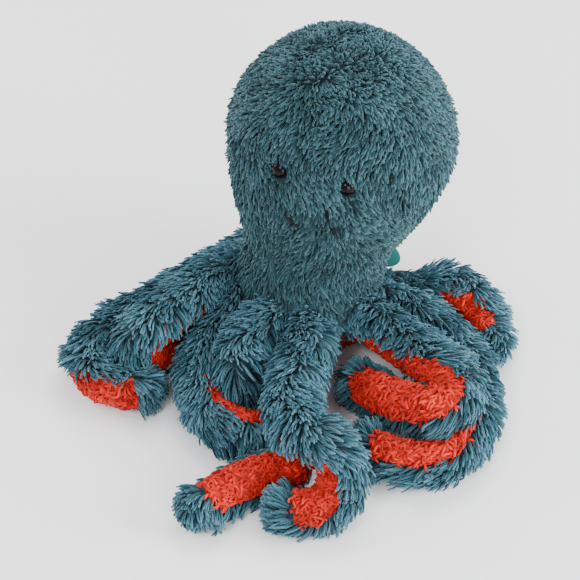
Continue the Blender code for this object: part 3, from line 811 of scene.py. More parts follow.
        # reach runs from 0 at the root to 1 at the tip; the finish turns it into painted shade at the root
        # and a painted highlight at the tip.
        reach = np.concatenate([np.repeat(np.arange(rings - 1), LOCK_SIDES), [rings - 1]]) / (rings - 1)
        strand = np.concatenate([np.tile(np.arange(LOCK_SIDES), rings - 1), [1.0]]) / LOCK_SIDES
        return Patch(
            points=points.reshape(-1, 3),
            quads=quads,
            quad_map=self._on_map(cell, quad_place / steps),
            triangles=triangles,
            triangle_map=self._on_map(cell, tip_place / steps),
            tones=np.repeat((rank + 0.5) / CELLS ** 2, per_lock),
            reaches=np.tile(reach, count),
            strands=(rank[:, None] * 0.37 + strand[None]).ravel(),
        )

    def _on_map(self, cell: Array, place: Array) -> Array:
        """Sets a lock's own map into its cell, above the backing cloth's band."""
        inside = 0.05 + 0.9 * place
        spots = cell[:, None, None] + inside[None] / CELLS
        spots[..., 1] = SKIN_BAND + spots[..., 1] * (1.0 - SKIN_BAND)
        return spots.reshape(-1, place.shape[1], 2)


HEAD_PILE = Pile(
    spacing=1.74 * MM, length=10.4 * MM, width=1.6 * MM,
    lean_root=math.radians(36), lean_tip=math.radians(83), stand=math.radians(20),
    curl=0.34, clump_size=5.2 * MM, clump_pull=0.44, unrest=0.22,
)
ARM_PILE = Pile(
    spacing=1.76 * MM, length=14.5 * MM, width=1.55 * MM,
    lean_root=math.radians(40), lean_tip=math.radians(86), stand=math.radians(45),
    curl=0.26, clump_size=8.0 * MM, clump_pull=0.58, unrest=0.11,
)
FLEECE = Pile(
    spacing=1.9 * MM, length=10.0 * MM, width=2.0 * MM,
    lean_root=math.radians(5), lean_tip=math.radians(190), stand=math.radians(160),
    curl=1.1, clump_size=5.6 * MM, clump_pull=0.68, unrest=1.4,
    stations=(0.0, 0.3, 0.55, 0.78, 0.95, 1.0), widths=(0.8, 1.0, 1.05, 1.0, 0.75),
)


def press_down(patch: Patch) -> Patch:
    """Presses what would reach below the floor flat on it: z becomes at least the floor's clearance."""
    depth = np.maximum(FLOOR_CLEAR - patch.points[:, 2], 0.0)
    patch.points[:, 2] = np.maximum(patch.points[:, 2], FLOOR_CLEAR) + 0.02 * depth
    return patch


def cloth_patch(
    limb: Limb, span: Range, edges: Range, lift: float, closed: bool, seed: int,
    step: float = 4 * MM, columns: int = 36, reach: float = 0.0,
) -> Patch:
    """Backing cloth: the limb's skin as a grid, a full ring being closed at both ends by a point.

    Args:
        limb: the limb.
        span: first and last place.
        edges: first and last angle.
        lift: height above the skin.
        closed: whether the grid is a full ring.
        seed: start of the random numbers.
        step: distance between rows.
        columns: faces round it.
        reach: how far up the pile its colour is taken; at 0 the cloth takes the root's painted shade.

    Returns:
        The cloth as a patch.
    """
    rows = max(int((span[1] - span[0]) / step), 2) + 1
    places = np.linspace(span[0], span[1], rows)
    angles = np.linspace(edges[0], edges[1], columns + (0 if closed else 1), endpoint=not closed)
    place, angle = np.meshgrid(places, angles, indexing="ij")
    points, normals, _ = limb.surface(place, angle, 0.0 * place + lift)
    ripple = Ripple(5 * MM, seed).value(points.reshape(-1, 3)).reshape(place.shape)
    points = points + normals * (ripple * 0.25 * MM)[..., None]
    width = points.shape[1]
    quads, quad_map = grid_faces(rows - 1, columns, rows, width)
    quad_map = quad_map / [columns, rows - 1] * [1.0, SKIN_TOP]
    flat = points.reshape(-1, 3)
    triangles = np.empty((0, 3), int)
    triangle_map = np.empty((0, 3, 2))
    if closed:
        ends, _, _, _, _ = limb.read(np.array(span))
        flat = np.concatenate([flat, ends])
        ring = np.arange(width)
        after_ring = (ring + 1) % width
        start, last = len(flat) - 2, (rows - 1) * width
        triangles = np.concatenate([
            np.stack([after_ring, ring, np.full(width, start)], axis=1),
            np.stack([last + ring, last + after_ring, np.full(width, start + 1)], axis=1),
        ])
        wedge = np.stack([
            np.stack([ring, ring + 1, ring + 0.5], axis=1) / width,
            np.tile([SKIN_TOP, SKIN_TOP, SKIN_BAND - 0.002], (width, 1)),
        ], axis=-1)
        triangle_map = np.concatenate([wedge, wedge])
    rng = np.random.default_rng(seed)
    return Patch(
        points=flat, quads=quads, quad_map=quad_map, triangles=triangles, triangle_map=triangle_map,
        tones=rng.uniform(0.1, 0.3, len(flat)), reaches=np.full(len(flat), reach),
        strands=rng.uniform(0.0, 9.0, len(flat)),
    )


# Sack


@dataclass
class Sack:
    """The bag that is foot, neck and head, with its orange base."""

    finishes: Finishes
    base_radius: float = 36 * MM
    neck_radius: float = 49.5 * MM
    head_radius: float = 76.5 * MM
    bowl_height: float = 21 * MM
    neck_height: float = 52 * MM
    neck_left: float = 3 * MM
    waist_depth: float = 3.5 * MM
    waist_rise: float = 74 * MM
    waist_spread: float = 20 * MM
    head_height: float = 139 * MM
    set_back: float = 38 * MM
    set_right: float = 18 * MM
    face_turn: float = math.radians(-18)
    panel_angle: float = math.radians(120)
    sway: float = 0.42
    whorl: float = 0.75
    parting: float = 0.6
    parting_half: float = 0.14
    foot_length: float = 0.62
    crown_cut: float = 0.46
    crown_from: float = 15 * MM
    limb: Limb = field(init=False)

    def __post_init__(self) -> None:
        """Works out the sack's path, frame and radii."""
        low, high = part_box("base_panel")
        self.foot = np.array([(low[0] + high[0]) / 2, (low[1] + high[1]) / 2, 0.0])
        head = self.foot + [self.set_right, self.set_back, self.head_height]
        neck = self.foot + UP * self.neck_height - [self.neck_left, 0.0, 0.0]
        lean = unit(head - neck)
        crown = head + lean * self.head_radius
        points = np.array([self.foot, self.foot + UP * self.neck_height / 2, neck, head, crown])
        curve, knots = smooth_path(points, PATH_SAMPLES)
        steps = np.linalg.norm(np.diff(curve, axis=0), axis=1)
        rises = np.concatenate([[0.0], np.cumsum(steps)])
        self.neck_rise, self.head_rise = rises[knots[2]], rises[knots[3]]
        swell_length = self.head_rise - self.bowl_height
        share = np.clip((rises - self.bowl_height) / swell_length, 0.0, 1.0)[:, None]
        tangents = unit(UP * (1 - share) + lean * share)
        arc = np.sin(np.linspace(0.0, math.pi / 2, 60)) * self.head_radius * POLE
        places = np.concatenate([np.linspace(0.0, self.head_rise, 200), self.head_rise + arc[1:]])
        centres = resampled(places, rises, curve)
        tangents = unit(resampled(places, rises, tangents))
        face = np.array([math.sin(self.face_turn), -math.cos(self.face_turn), 0.0])
        radii = self.radius(places)
        slants = np.arctan2(-np.gradient(radii, places), 1.0)
        on_crown = places > self.head_rise
        slants[on_crown] = np.arcsin((places[on_crown] - self.head_rise) / self.head_radius)
        unders = unit(face - tangents * (tangents @ face)[:, None])
        self.limb = Limb(places, centres, tangents, unders, radii, slants)

    def radius(self, rises: Array) -> Array:
        """Radius along the axis: a bowl, a swell up to the head less a waist of exp(-t^2), a sphere."""
        bowl = np.sqrt(1.0 - (1.0 - np.minimum(rises / self.neck_rise, 1.0)) ** 2)
        swell = smoothstep(rises, self.neck_rise, self.head_rise)
        low = self.base_radius + (self.neck_radius - self.base_radius) * bowl
        waist = self.waist_depth * np.exp(-(((rises - self.waist_rise) / self.waist_spread) ** 2))
        low = low + (self.head_radius - self.neck_radius) * swell
        low = low - waist * (1.0 - smoothstep(rises, self.waist_rise, self.head_rise))
        past = np.clip(rises - self.head_rise, 0.0, self.head_radius)
        return np.where(rises > self.head_rise, np.sqrt(self.head_radius ** 2 - past ** 2), low)

    def flows(self, points: Array, normals: Array, angles: Array, rises: Array) -> Array:
        """Lie of the pile: downhill, in whorls on the crown, and parted at the centre-front seam."""
        downhill = -UP + normals * normals[:, 2:]
        steep = smoothstep(np.linalg.norm(downhill, axis=1), 0.0, 0.75)[:, None]
        fall = unit(downhill) * steep
        turn = Ripple(62 * MM, 31).value(points)[:, None] * self.sway
        fall = fall * np.cos(turn) + np.cross(normals, fall) * np.sin(turn)
        whorl = Ripple(27 * MM, 33).slope(points)
        fall = fall + (whorl - normals * dots(whorl, normals)) * (1.0 - steep) * self.whorl
        seam = wrapped(angles)
        aside = np.cross(normals, unit(fall + 1e-6))
        parted = np.sign(seam) * np.exp(-((seam / self.parting_half) ** 2)) * steep[:, 0]
        parted *= smoothstep(rises, self.head_rise - 10 * MM, self.head_rise)
        return fall + aside * (parted * self.parting)[:, None]

    def coat(self, eyes: "Eyes", smile: "Smile", tag: "Tag") -> None:
        """Grows the three teal panels, which each stand for a CAD panel.

        Args:
            eyes: the eyes, which the pile leaves partly free.
            smile: the mouth, whose ends the pile leaves free.
            tag: the side tag, round which the pile is short.
        """
        half = self.panel_angle
        panels = {
            "front_left": (0.0, half), "front_right": (-half, 0.0), "back": (half, FULL_TURN - half),
        }
        for seed, (side, (low, high)) in enumerate(panels.items()):
            span = (self.bowl_height - 3 * MM, self.limb.length)
            rises, angles = self.limb.scatter(span, Edges(low, high), HEAD_PILE.spacing, 100 + seed)
            points, normals, _ = self.limb.surface(rises, angles, ROOT_LIFT)
            flows = self.flows(points, normals, angles, rises)
            rng = np.random.default_rng(140 + seed)
            lengths = HEAD_PILE.length * rng.uniform(0.72, 1.12, len(points))
            risen = smoothstep(rises, self.bowl_height, self.neck_rise)
            lengths *= self.foot_length + (1.0 - self.foot_length) * risen
            lengths = np.minimum(lengths, eyes.limits(points))
            crown = smoothstep(rises, self.head_rise + self.crown_from, self.limb.length)
            lengths *= 1.0 - self.crown_cut * crown
            lengths = np.minimum(lengths, smile.limits(rises, angles))
            lengths = np.minimum(lengths, tag.limits(points))
            keep = eyes.nearest(points) > eyes.radius
            locks = HEAD_PILE.grow(points[keep], normals[keep], flows[keep], lengths[keep], 160 + seed)
            # The backing cloth takes the root colour, painted shade between the locks.
            cloth = cloth_patch(self.limb, span, (low, high), 0.6 * MM, False, 180 + seed, 5 * MM, 24)
            made = piece(f"sack_{side}_coat", [press_down(locks), cloth], self.finishes.sack_pile)
            settle(made, "sack", f"sack_{side}_panel")
            log.info("%s: %d locks", made.name, int(keep.sum()))

    def base(self) -> None:
        """Grows the orange base, flat where it stands."""
        span = (0.0, self.bowl_height + 1 * MM)
        rises, angles = self.limb.scatter(span, Edges(*AROUND), FLEECE.spacing, 200)
        points, normals, along = self.limb.surface(rises, angles, ROOT_LIFT)
        rng = np.random.default_rng(201)
        lengths = FLEECE.length * 0.8 * rng.uniform(0.7, 1.1, len(points))
        curls = FLEECE.grow(points, normals, -along * 0.3, lengths, 202)
        bowl = (0.0, self.bowl_height)
        cloth = cloth_patch(self.limb, bowl, AROUND, 0.5 * MM, True, 203, 3 * MM, 48, 0.3)
        made = piece("base_fleece", [press_down(curls), press_down(cloth)], self.finishes.fleece)
        settle(made, "sack", "base_panel")

    def inside(self) -> None:
        """The stuffing and the bean pouch, both sealed in the sack."""
        span = (self.bowl_height, self.limb.length - 2 * MM)
        cloth = cloth_patch(self.limb, span, AROUND, FILLING_LIFT, True, 210, 6 * MM, 48, 0.8)
        made = piece("sack_filling", [cloth], self.finishes.fibre)
        settle(made, "sack", "sack_stuffing")
        low, high = (np.array(corner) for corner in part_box("bean_pouch"))
        middle, half = (low + high) / 2, (high - low) / 2
        turn = np.linspace(0.02, math.pi - 0.02, 22)
        profile = np.stack([half[0] * np.sin(turn) ** 0.6, half[2] * np.cos(turn)], axis=1)
        grid = turned_grid(profile, 56) + middle
        lumps = Ripple(5 * MM, 211).value(grid.reshape(-1, 3)).reshape(grid.shape[:2])
        grid = grid + (middle - grid) * (0.02 + 0.02 * lumps)[..., None]
        pouch = surface_object("pellet_pouch", grid[::-1], self.finishes.pouch, loop_u=True)
        settle(pouch, "sack", "bean_pouch")


def node_points(name: str) -> Array:
    """Points of a CAD node."""
    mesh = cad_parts[name].data
    points = np.empty(len(mesh.vertices) * 3)
    mesh.vertices.foreach_get("co", points)
    return points.reshape(-1, 3)


def smooth_path(points: Array, count: int) -> tuple[Array, Array]:
    """Centripetal Catmull-Rom curve through points.

    The knots lie as far apart as the square root of the distance between the points, the slope at
    a point is the chord between its neighbours, and between knots runs a cubic.

    Args:
        points: rows of position and any further values.
        count: number of samples.

    Returns:
        The samples, and the sample at which each point lies.
    """
    steps = np.linalg.norm(np.diff(points[:, :3], axis=0), axis=1)
    knots = np.concatenate([[0.0], np.cumsum(np.sqrt(steps))])
    slopes = np.empty_like(points)
    slopes[1:-1] = (points[2:] - points[:-2]) / (knots[2:] - knots[:-2])[:, None]
    slopes[0] = (points[1] - points[0]) / (knots[1] - knots[0])
    slopes[-1] = (points[-1] - points[-2]) / (knots[-1] - knots[-2])
    place = np.linspace(0.0, knots[-1], count)
    left = np.clip(np.searchsorted(knots, place, side="right") - 1, 0, len(points) - 2)
    span = (knots[left + 1] - knots[left])[:, None]
    part = (place - knots[left])[:, None] / span
    start = 2 * part ** 3 - 3 * part ** 2 + 1
    leave = part ** 3 - 2 * part ** 2 + part
    arrive = part ** 3 - part ** 2
    curve = start * points[left] + leave * span * slopes[left]
    curve += (1 - start) * points[left + 1] + arrive * span * slopes[left + 1]
    return curve, np.searchsorted(place, knots).clip(0, count - 1)


# Arms


class Side(Enum):
    """The two fabrics of an arm."""

    COVER = "cover"
    LINING = "lining"


@dataclass(frozen=True)
class Stretch:
    """A length of an arm that one piece covers, and the bodies that it lies on."""

    label: str
    span: Range
    bodies: tuple[str, ...]
    bend: Range | None = None
    replaced: tuple[str, ...] = ()


@dataclass(frozen=True)
class Route:
    """An arm's way from the sack: rows of right, forward, level and turn of the underside."""

    name: str
    rows: tuple[tuple[float, float, float, float], ...]
    elbow: int | None
    lifts: bool


ROUTES = (
    Route("front", (
        (-0.02, 0.26, 2.22, 0), (-0.05, 0.60, 2.65, 0), (-0.135, 1.04, 3.07, 0),
        (-0.18, 1.38, 3.13, 0), (-0.165, 1.52, 3.20, 0), (-0.09, 1.655, 3.26, 6),
        (0.04, 1.72, 3.14, 28), (0.14, 1.83, 2.35, 60), (0.10, 1.965, 1.42, 92),
        (-0.05, 2.035, 1.0, 114), (-0.34, 2.02, 1.0, 128),
    ), 3, True),
    Route("front_left", (
        (-0.16, 0.20, 2.22, 0), (-0.34, 0.48, 2.74, 0), (-0.46, 0.70, 3.06, 0),
        (-0.50, 0.84, 3.06, 0), (-0.52, 0.94, 2.76, 0), (-0.53, 0.98, 2.03, 0),
        (-0.52, 0.94, 1.30, 0), (-0.50, 0.84, 1.0, 0), (-0.47, 0.70, 1.0, 0),
        (-0.46, 0.57, 1.0, 0),
    ), None, True),
    Route("left", (
        (-0.26, 0.00, 2.22, 0), (-0.51, 0.18, 2.07, -15), (-0.67, 0.46, 1.88, -45),
        (-0.80, 0.74, 1.60, -70), (-0.755, 1.09, 1.05, -88), (-0.59, 1.30, 1.0, -98),
        (-0.36, 1.38, 1.0, -98), (-0.21, 1.44, 1.0, -106), (-0.155, 1.56, 1.0, -122),
        (-0.23, 1.69, 1.0, -135), (-0.40, 1.75, 1.0, -145), (-0.60, 1.86, 1.0, -155),
        (-0.86, 2.10, 1.0, -155),
    ), 5, False),
    Route("rear_left", (
        (-0.20, -0.16, 2.22, 0), (-0.54, -0.18, 2.22, -10), (-0.82, 0.12, 2.81, -30),
        (-0.99, 0.38, 3.05, -40), (-1.16, 0.56, 3.05, -40), (-1.23, 0.63, 2.76, -40),
        (-1.26, 0.66, 2.03, -40), (-1.23, 0.63, 1.30, -45), (-1.16, 0.56, 1.0, -50),
        (-0.98, 0.42, 1.0, -50), (-0.84, 0.18, 1.0, -50),
    ), None, True),
    Route("back_left", (
        (0.00, -0.26, 2.22, 0), (-0.20, -0.53, 1.48, -28), (-0.50, -0.51, 1.0, -72),
        (-0.84, -0.22, 1.0, -92), (-1.14, 0.05, 1.0, -46), (-1.43, 0.28, 1.0, 2),
        (-1.62, 0.54, 1.0, 44), (-1.57, 0.79, 1.0, 84), (-1.36, 0.92, 1.0, 120),
        (-1.10, 0.92, 1.0, 138),
    ), 3, False),
    Route("front_right", (
        (0.17, 0.20, 2.22, 0), (0.38, 0.44, 2.52, 26), (0.61, 0.72, 2.81, 56),
        (0.80, 0.95, 3.07, 67), (0.92, 1.09, 3.07, 84), (0.955, 1.20, 3.05, 108),
        (0.90, 1.315, 2.95, 137), (0.79, 1.35, 2.75, 160), (0.67, 1.285, 2.50, 176),
        (0.45, 1.09, 1.84, 184), (0.21, 0.83, 1.30, 184),
    ), 6, True),
    Route("right", (
        (0.26, 0.04, 1.90, 0), (0.52, 0.19, 2.15, 15), (0.79, 0.35, 1.72, 35),
        (1.0, 0.55, 1.15, 58), (1.085, 0.84, 1.0, 85), (1.05, 1.24, 1.0, 115),
        (0.89, 1.54, 1.0, 135), (0.67, 1.62, 1.0, 148), (0.45, 1.54, 1.0, 155),
        (0.27, 1.38, 1.0, 155),
    ), 5, False),
    Route("back_right", (
        (0.20, -0.10, 1.50, 0), (0.50, -0.10, 1.02, 15), (0.75, -0.08, 1.05, 38),
        (0.97, -0.08, 1.42, 64), (1.13, 0.07, 1.45, 93), (1.23, 0.32, 1.12, 121),
        (1.255, 0.57, 1.0, 141),
    ), 4, True),
)


@dataclass
class Arm:
    """One arm: teal pile on its back, orange fleece below, cut where the bodies meet."""

    route: Route
    sack: Sack
    tag: "Tag"
    finishes: Finishes
    seed: int
    route_span: float = 100 * MM
    radius: float = 13.4 * MM
    tip_radius: float = 11.0 * MM
    floor_gap: float = 0.4 * MM
    taper_start: float = 0.60
    lining_half: float = math.radians(75)
    lining_end: float = 20 * MM
    bridge: float = 15 * MM
    tuck: float = 14 * MM
    shoulder: float = 20 * MM
    fold_half: float = 10 * MM
    floor_shorter: float = 0.45
    tip_cut: float = 0.35
    samples: int = 260
    cap_samples: int = 40
    limb: Limb = field(init=False)

    def __post_init__(self) -> None:
        """Works out the arm's path, frame and radii."""
        rows = np.array(self.route.rows, float)
        points = np.empty_like(rows)
        points[:, 0] = self.sack.foot[0] + rows[:, 0] * self.route_span
        points[:, 1] = self.sack.foot[1] - rows[:, 1] * self.route_span
        points[:, 2] = self.floor_gap + rows[:, 2] * self.radius
        points[:, 3] = np.radians(rows[:, 3])
        samples, knots = smooth_path(points, PATH_SAMPLES)
        curve = samples[:, :3]
        tangents = unit(np.gradient(curve, axis=0))
        downs = carried(tangents, -UP)
        rights = np.cross(tangents, -downs)
        unders = downs * np.cos(samples[:, 3:]) + rights * np.sin(samples[:, 3:])
        lengths = np.concatenate([[0.0], np.cumsum(np.linalg.norm(np.diff(curve, axis=0), axis=1))])
        length = lengths[-1]
        quarter = np.linspace(0.0, math.pi / 2, self.cap_samples)
        cap = length - self.tip_radius + self.tip_radius * np.sin(quarter) * POLE
        places = np.concatenate([np.linspace(0.0, length - self.tip_radius, self.samples), cap[1:]])
        table = resampled(places, lengths, np.concatenate([curve, tangents, unders], axis=1))
        start = length * self.taper_start
        taper = np.clip((places - start) / (length - start), 0.0, 1.0)
        past = np.clip(1.0 - (length - places) / self.tip_radius, 0.0, 1.0)
        radii = (self.radius + (self.tip_radius - self.radius) * taper) * np.sqrt(1.0 - past ** 2)
        self.limb = Limb(
            places, table[:, :3], unit(table[:, 3:6]), unit(table[:, 6:]), radii, np.arcsin(past)
        )
        self.elbow = None if self.route.elbow is None else float(lengths[knots[self.route.elbow]])
        reach = np.hypot(table[:, 0] - self.sack.foot[0], table[:, 1] - self.sack.foot[1])
        self.leave = float(places[int(np.argmax(reach > self.sack.neck_radius))])

    def stretches(self) -> list[Stretch]:
        """Cuts the arm into pieces: one across each hinge, and one for each length between."""
        name = self.route.name
        first = f"{name}_arm" if self.elbow is None else f"{name}_arm_root"
        root_body = first if self.route.lifts else "sack"
        cuts = []
        begin = self.leave - self.tuck
        if self.route.lifts:
            end = self.leave + self.shoulder
            bend = (self.leave - 4 * MM, self.leave + 16 * MM)
            cuts.append(Stretch("shoulder", (begin, end), ("sack", first), bend))
            begin = end
        last = self.limb.length
        if self.elbow is None:
            cuts.append(Stretch("arm", (begin, last), (first,), None, (first,)))
            return cuts
        bridge = (self.elbow - self.bridge, self.elbow + self.bridge)
        tip = f"{name}_arm_tip"
        cuts.append(Stretch("root", (begin, bridge[0]), (root_body,), None, (first,)))
        bend = (self.elbow - self.fold_half, self.elbow + self.fold_half)
        cuts.append(Stretch("elbow", bridge, (root_body, tip), bend))
        cuts.append(Stretch("tip", (bridge[1], last), (tip,), None, (tip,)))
        return cuts

    def edges(self, side: Side) -> Edges:
        """Edge angles of a fabric, which closes over the tip."""
        half, stop = self.lining_half, self.limb.length - self.lining_end
        if side is Side.COVER:
            return Edges(half, FULL_TURN - half, stop + 6 * MM, 0.0)
        return Edges(-half, half, stop + 6 * MM, 0.0)

    def flows(self, points: Array, normals: Array, along: Array) -> Array:
        """Lie of the pile: towards the tip and a little downhill, turned by slow ripples."""
        downhill = -UP + normals * normals[:, 2:]
        lie = unit(along * 0.62 + downhill * 0.72)
        turn = Ripple(38 * MM, self.seed + 5).value(points)[:, None] * 0.5
        return lie * np.cos(turn) + np.cross(normals, lie) * np.sin(turn)

    def grow(self, side: Side) -> tuple[Array, Array, Array, Array, Array]:
        """Roots of a fabric's whole pile, with the places they lie at."""
        pile = ARM_PILE if side is Side.COVER else FLEECE
        span = (max(self.leave - self.tuck, 0.0), self.limb.length)
        seed = self.seed + (0 if side is Side.COVER else 50)
        places, angles = self.limb.scatter(span, self.edges(side), pile.spacing, seed)
        points, normals, along = self.limb.surface(places, angles, ROOT_LIFT)
        rng = np.random.default_rng(seed + 1)
        lengths = pile.length * rng.uniform(0.7, 1.12, len(places))
        near_tip = smoothstep(places, self.limb.length - 20 * MM, self.limb.length)
        lengths *= 1.0 - self.tip_cut * near_tip
        raised = smoothstep(points[:, 2], 2 * MM, 9 * MM)
        lengths *= self.floor_shorter + (1.0 - self.floor_shorter) * raised
        lengths = np.minimum(lengths, self.tag.limits(points) + 1 * MM)
        return places, points, normals, along, lengths

    def coat(self) -> None:
        """Builds each stretch in both fabrics."""
        for side in Side:
            places, points, normals, along, lengths = self.grow(side)
            flows = self.flows(points, normals, along)
            for index, stretch in enumerate(self.stretches()):
                keep = (places >= stretch.span[0]) & (places < stretch.span[1])
                roots = [values[keep] for values in (points, normals, flows, lengths)]
                self.stretch_piece(side, stretch, index, roots)

    def stretch_piece(self, side: Side, stretch: Stretch, index: int, roots: list[Array]) -> None:
        """Makes one piece: its pile and its backing cloth, and ties it to its body, or bakes its place
        where it spans a bend.
        """
        cover = side is Side.COVER
        pile = ARM_PILE if cover else FLEECE
        finish = self.finishes.arm_pile if cover else self.finishes.fleece
        seed = self.seed + 10 + index + (0 if cover else 60)
        patches = []
        if len(roots[0]):
            patches.append(press_down(pile.grow(*roots, seed)))
        low, high = stretch.span
        overlap = 2 * MM
        span = (max(low - overlap, 0.0), min(high + overlap, self.limb.length - 0.2 * MM))
        if cover:
            # The backing cloth takes the root colour, painted shade between the locks.
            cloth = cloth_patch(self.limb, span, AROUND, 0.5 * MM, True, seed)
            patches.append(press_down(cloth))
        else:
            span = (span[0], min(span[1], self.limb.length - self.lining_end + 2 * MM))
            if span[1] > span[0] + 4 * MM:
                edges = (-self.lining_half, self.lining_half)
                patches.append(press_down(
                    cloth_patch(self.limb, span, edges, 1.1 * MM, False, seed, 4 * MM, 14, 0.35)))
        if not patches:
            return
        fabric = "coat" if cover else "fleece"
        made = piece(f"{self.route.name}_arm_{stretch.label}_{fabric}", patches, finish)
        self.tie(made, stretch)
        for node in stretch.replaced:
            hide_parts(f"{node}_{side.value}")
        log.info("%s: %d locks", made.name, len(roots[0]))

    def tie(self, made: bpy.types.Object, stretch: Stretch) -> None:
        """Lets a piece ride on its body, or, where it spans a bend, bakes its place into its mesh."""
        if stretch.bend is None:
            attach(made, stretch.bodies[0])
            return
        (start, end), _, _, _, _ = self.limb.read(np.array(stretch.bend))
        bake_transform(made)

    def filling(self) -> None:
        """The stuffing of each length, sealed in its covers."""
        begin = self.leave - 6 * MM
        lengths = [(f"{self.route.name}_arm", begin, self.limb.length - 4 * MM, True)]
        if self.elbow is not None:
            lengths = [
                (f"{self.route.name}_arm_root", begin, self.elbow - 1 * MM, self.route.lifts),
                (f"{self.route.name}_arm_tip", self.elbow + 1 * MM, self.limb.length - 4 * MM, True),
            ]
        for name, low, high, moves in lengths:
            span = (low, high)
            cloth = cloth_patch(self.limb, span, AROUND, FILLING_LIFT, True, self.seed, 6 * MM, 20, 0.8)
            made = piece(f"{name}_filling", [cloth], self.finishes.fibre)
            body = name if moves else "sack"
            settle(made, body, f"{name}_stuffing")


def carried(tangents: Array, start: Array) -> Array:
    """Carries a vector along a path without twist: each is the one before, squared to the tangent."""
    kept = np.empty_like(tangents)
    vector = start
    for index, tangent in enumerate(tangents):
        vector = unit(vector - tangent * vector.dot(tangent))
        kept[index] = vector
    return kept


# Face and tag


@dataclass
class Eyes:
    """Two domed eyes with a thin rim, on the shanks of the CAD eyes."""

    sack: Sack
    finishes: Finishes
    rise: float = 137 * MM
    spread: float = math.radians(17.5)
    radius: float = 6.2 * MM
    dome: float = 4.2 * MM
    shank_radius: float = 1.6 * MM
    shank_length: float = 7.5 * MM
    stand_out: float = 1.5 * MM
    rim: float = 0.42 * MM
    back_height: float = 0.5 * MM
    seats: dict[str, tuple[Array, Array]] = field(init=False)

    def __post_init__(self) -> None:
        """Reads where each eye stands and looks from its CAD node: from its heel to its top."""
        self.seats = {}
        for side, sign in (("left", 1), ("right", -1)):
            points = node_points(f"eye_{side}")
            place, angle = np.array([self.rise]), np.array([sign * self.spread])
            _, normal, _ = self.sack.limb.surface(place, angle, 0.0)
            heights = points @ normal[0]
            top = points[heights.argmax()]
            heel = points[heights < heights.min() + 1 * MM].mean(axis=0)
            look = unit(top - heel)
            self.seats[side] = (heel + look * self.shank_length, look)

    def nearest(self, points: Array) -> Array:
        """Distance from each point to the nearer eye's middle."""
        return np.min([np.linalg.norm(points - seat, axis=1) for seat, _ in self.seats.values()], axis=0)

    def limits(self, points: Array) -> Array:
        """Greatest length of locks near an eye: those above reach its upper third, the rest stay short."""
        longest = np.full(len(points), math.inf)
        for seat, look in self.seats.values():
            way = points - seat
            near = np.linalg.norm(way, axis=1)
            over = unit(UP - look * look[2])
            above = way @ over > -2 * MM
            bound = np.where(above, (near - 1.6 * MM) / 0.85, 3.4 * MM + (near - self.radius) * 1.3)
            longest = np.where(near < 20 * MM, np.minimum(longest, np.maximum(bound, 2 * MM)), longest)
        return longest

    def build(self) -> None:
        """Turns each eye: a round dome, a raised rim, a flat back and a ribbed shank."""
        turn = np.linspace(0.0, math.pi / 2, 18)
        dome = np.stack([
            self.radius * 0.93 * np.sin(turn), self.dome * np.cos(turn) + self.back_height
        ], axis=1)
        bead = np.linspace(math.pi * 0.75, -math.pi * 0.5, 12)
        rim = np.stack([
            self.radius * 0.95 + self.rim * np.cos(bead), self.back_height + self.rim * np.sin(bead)
        ], axis=1)
        ribs = np.linspace(0.1 * MM, self.shank_length - 0.3 * MM, 32)
        ribbed = 0.12 * MM * (1 - np.cos(ribs / (0.35 * MM))) / 2
        shank = np.stack([self.shank_radius - ribbed, -ribs], axis=1)
        heel = np.array([[0.0, -self.shank_length + 0.1 * MM]])
        profile = np.concatenate([dome, rim, shank, heel])
        profile[0, 0] = 0.0
        grid = turned_grid(np.maximum(profile, [0.0, -1.0]), 48)
        for side, (seat, look) in self.seats.items():
            across = unit(np.cross(look, UP))
            over = np.cross(across, look)
            turned = stood(grid, across, over, look) + seat + look * self.stand_out
            made = surface_object(f"eye_dome_{side}", turned[::-1], self.finishes.eye, loop_u=True)
            settle(made, "sack", f"eye_{side}")
            self.washer(side, look, across, over)

    def washer(self, side: str, look: Array, across: Array, over: Array) -> None:
        """Turns the washer that holds an eye: a flat ring with round corners and a dished middle."""
        points = node_points(f"eye_washer_{side}")
        middle = points.mean(axis=0)
        away = points - middle
        height = away @ look
        reach = np.linalg.norm(away - height[:, None] * look, axis=1)
        low, high, inner, outer = height.min(), height.max(), reach.min(), reach.max()
        turn = np.linspace(0.0, FULL_TURN, 24, endpoint=False)
        ring = np.sign(np.cos(turn)) * np.abs(np.cos(turn)) ** 0.35
        dish = np.sign(np.sin(turn)) * np.abs(np.sin(turn)) ** 0.6
        profile = np.stack([
            (inner + outer) / 2 + ring * (outer - inner) / 2, (low + high) / 2 + dish * (high - low) / 2
        ], axis=1)
        grid = turned_grid(profile, 48)
        turned = stood(grid, across, over, look) + middle
        made = surface_object(
            f"eye_back_{side}", turned, self.finishes.washer, loop_u=True, loop_v=True
        )
        settle(made, "sack", f"eye_washer_{side}")


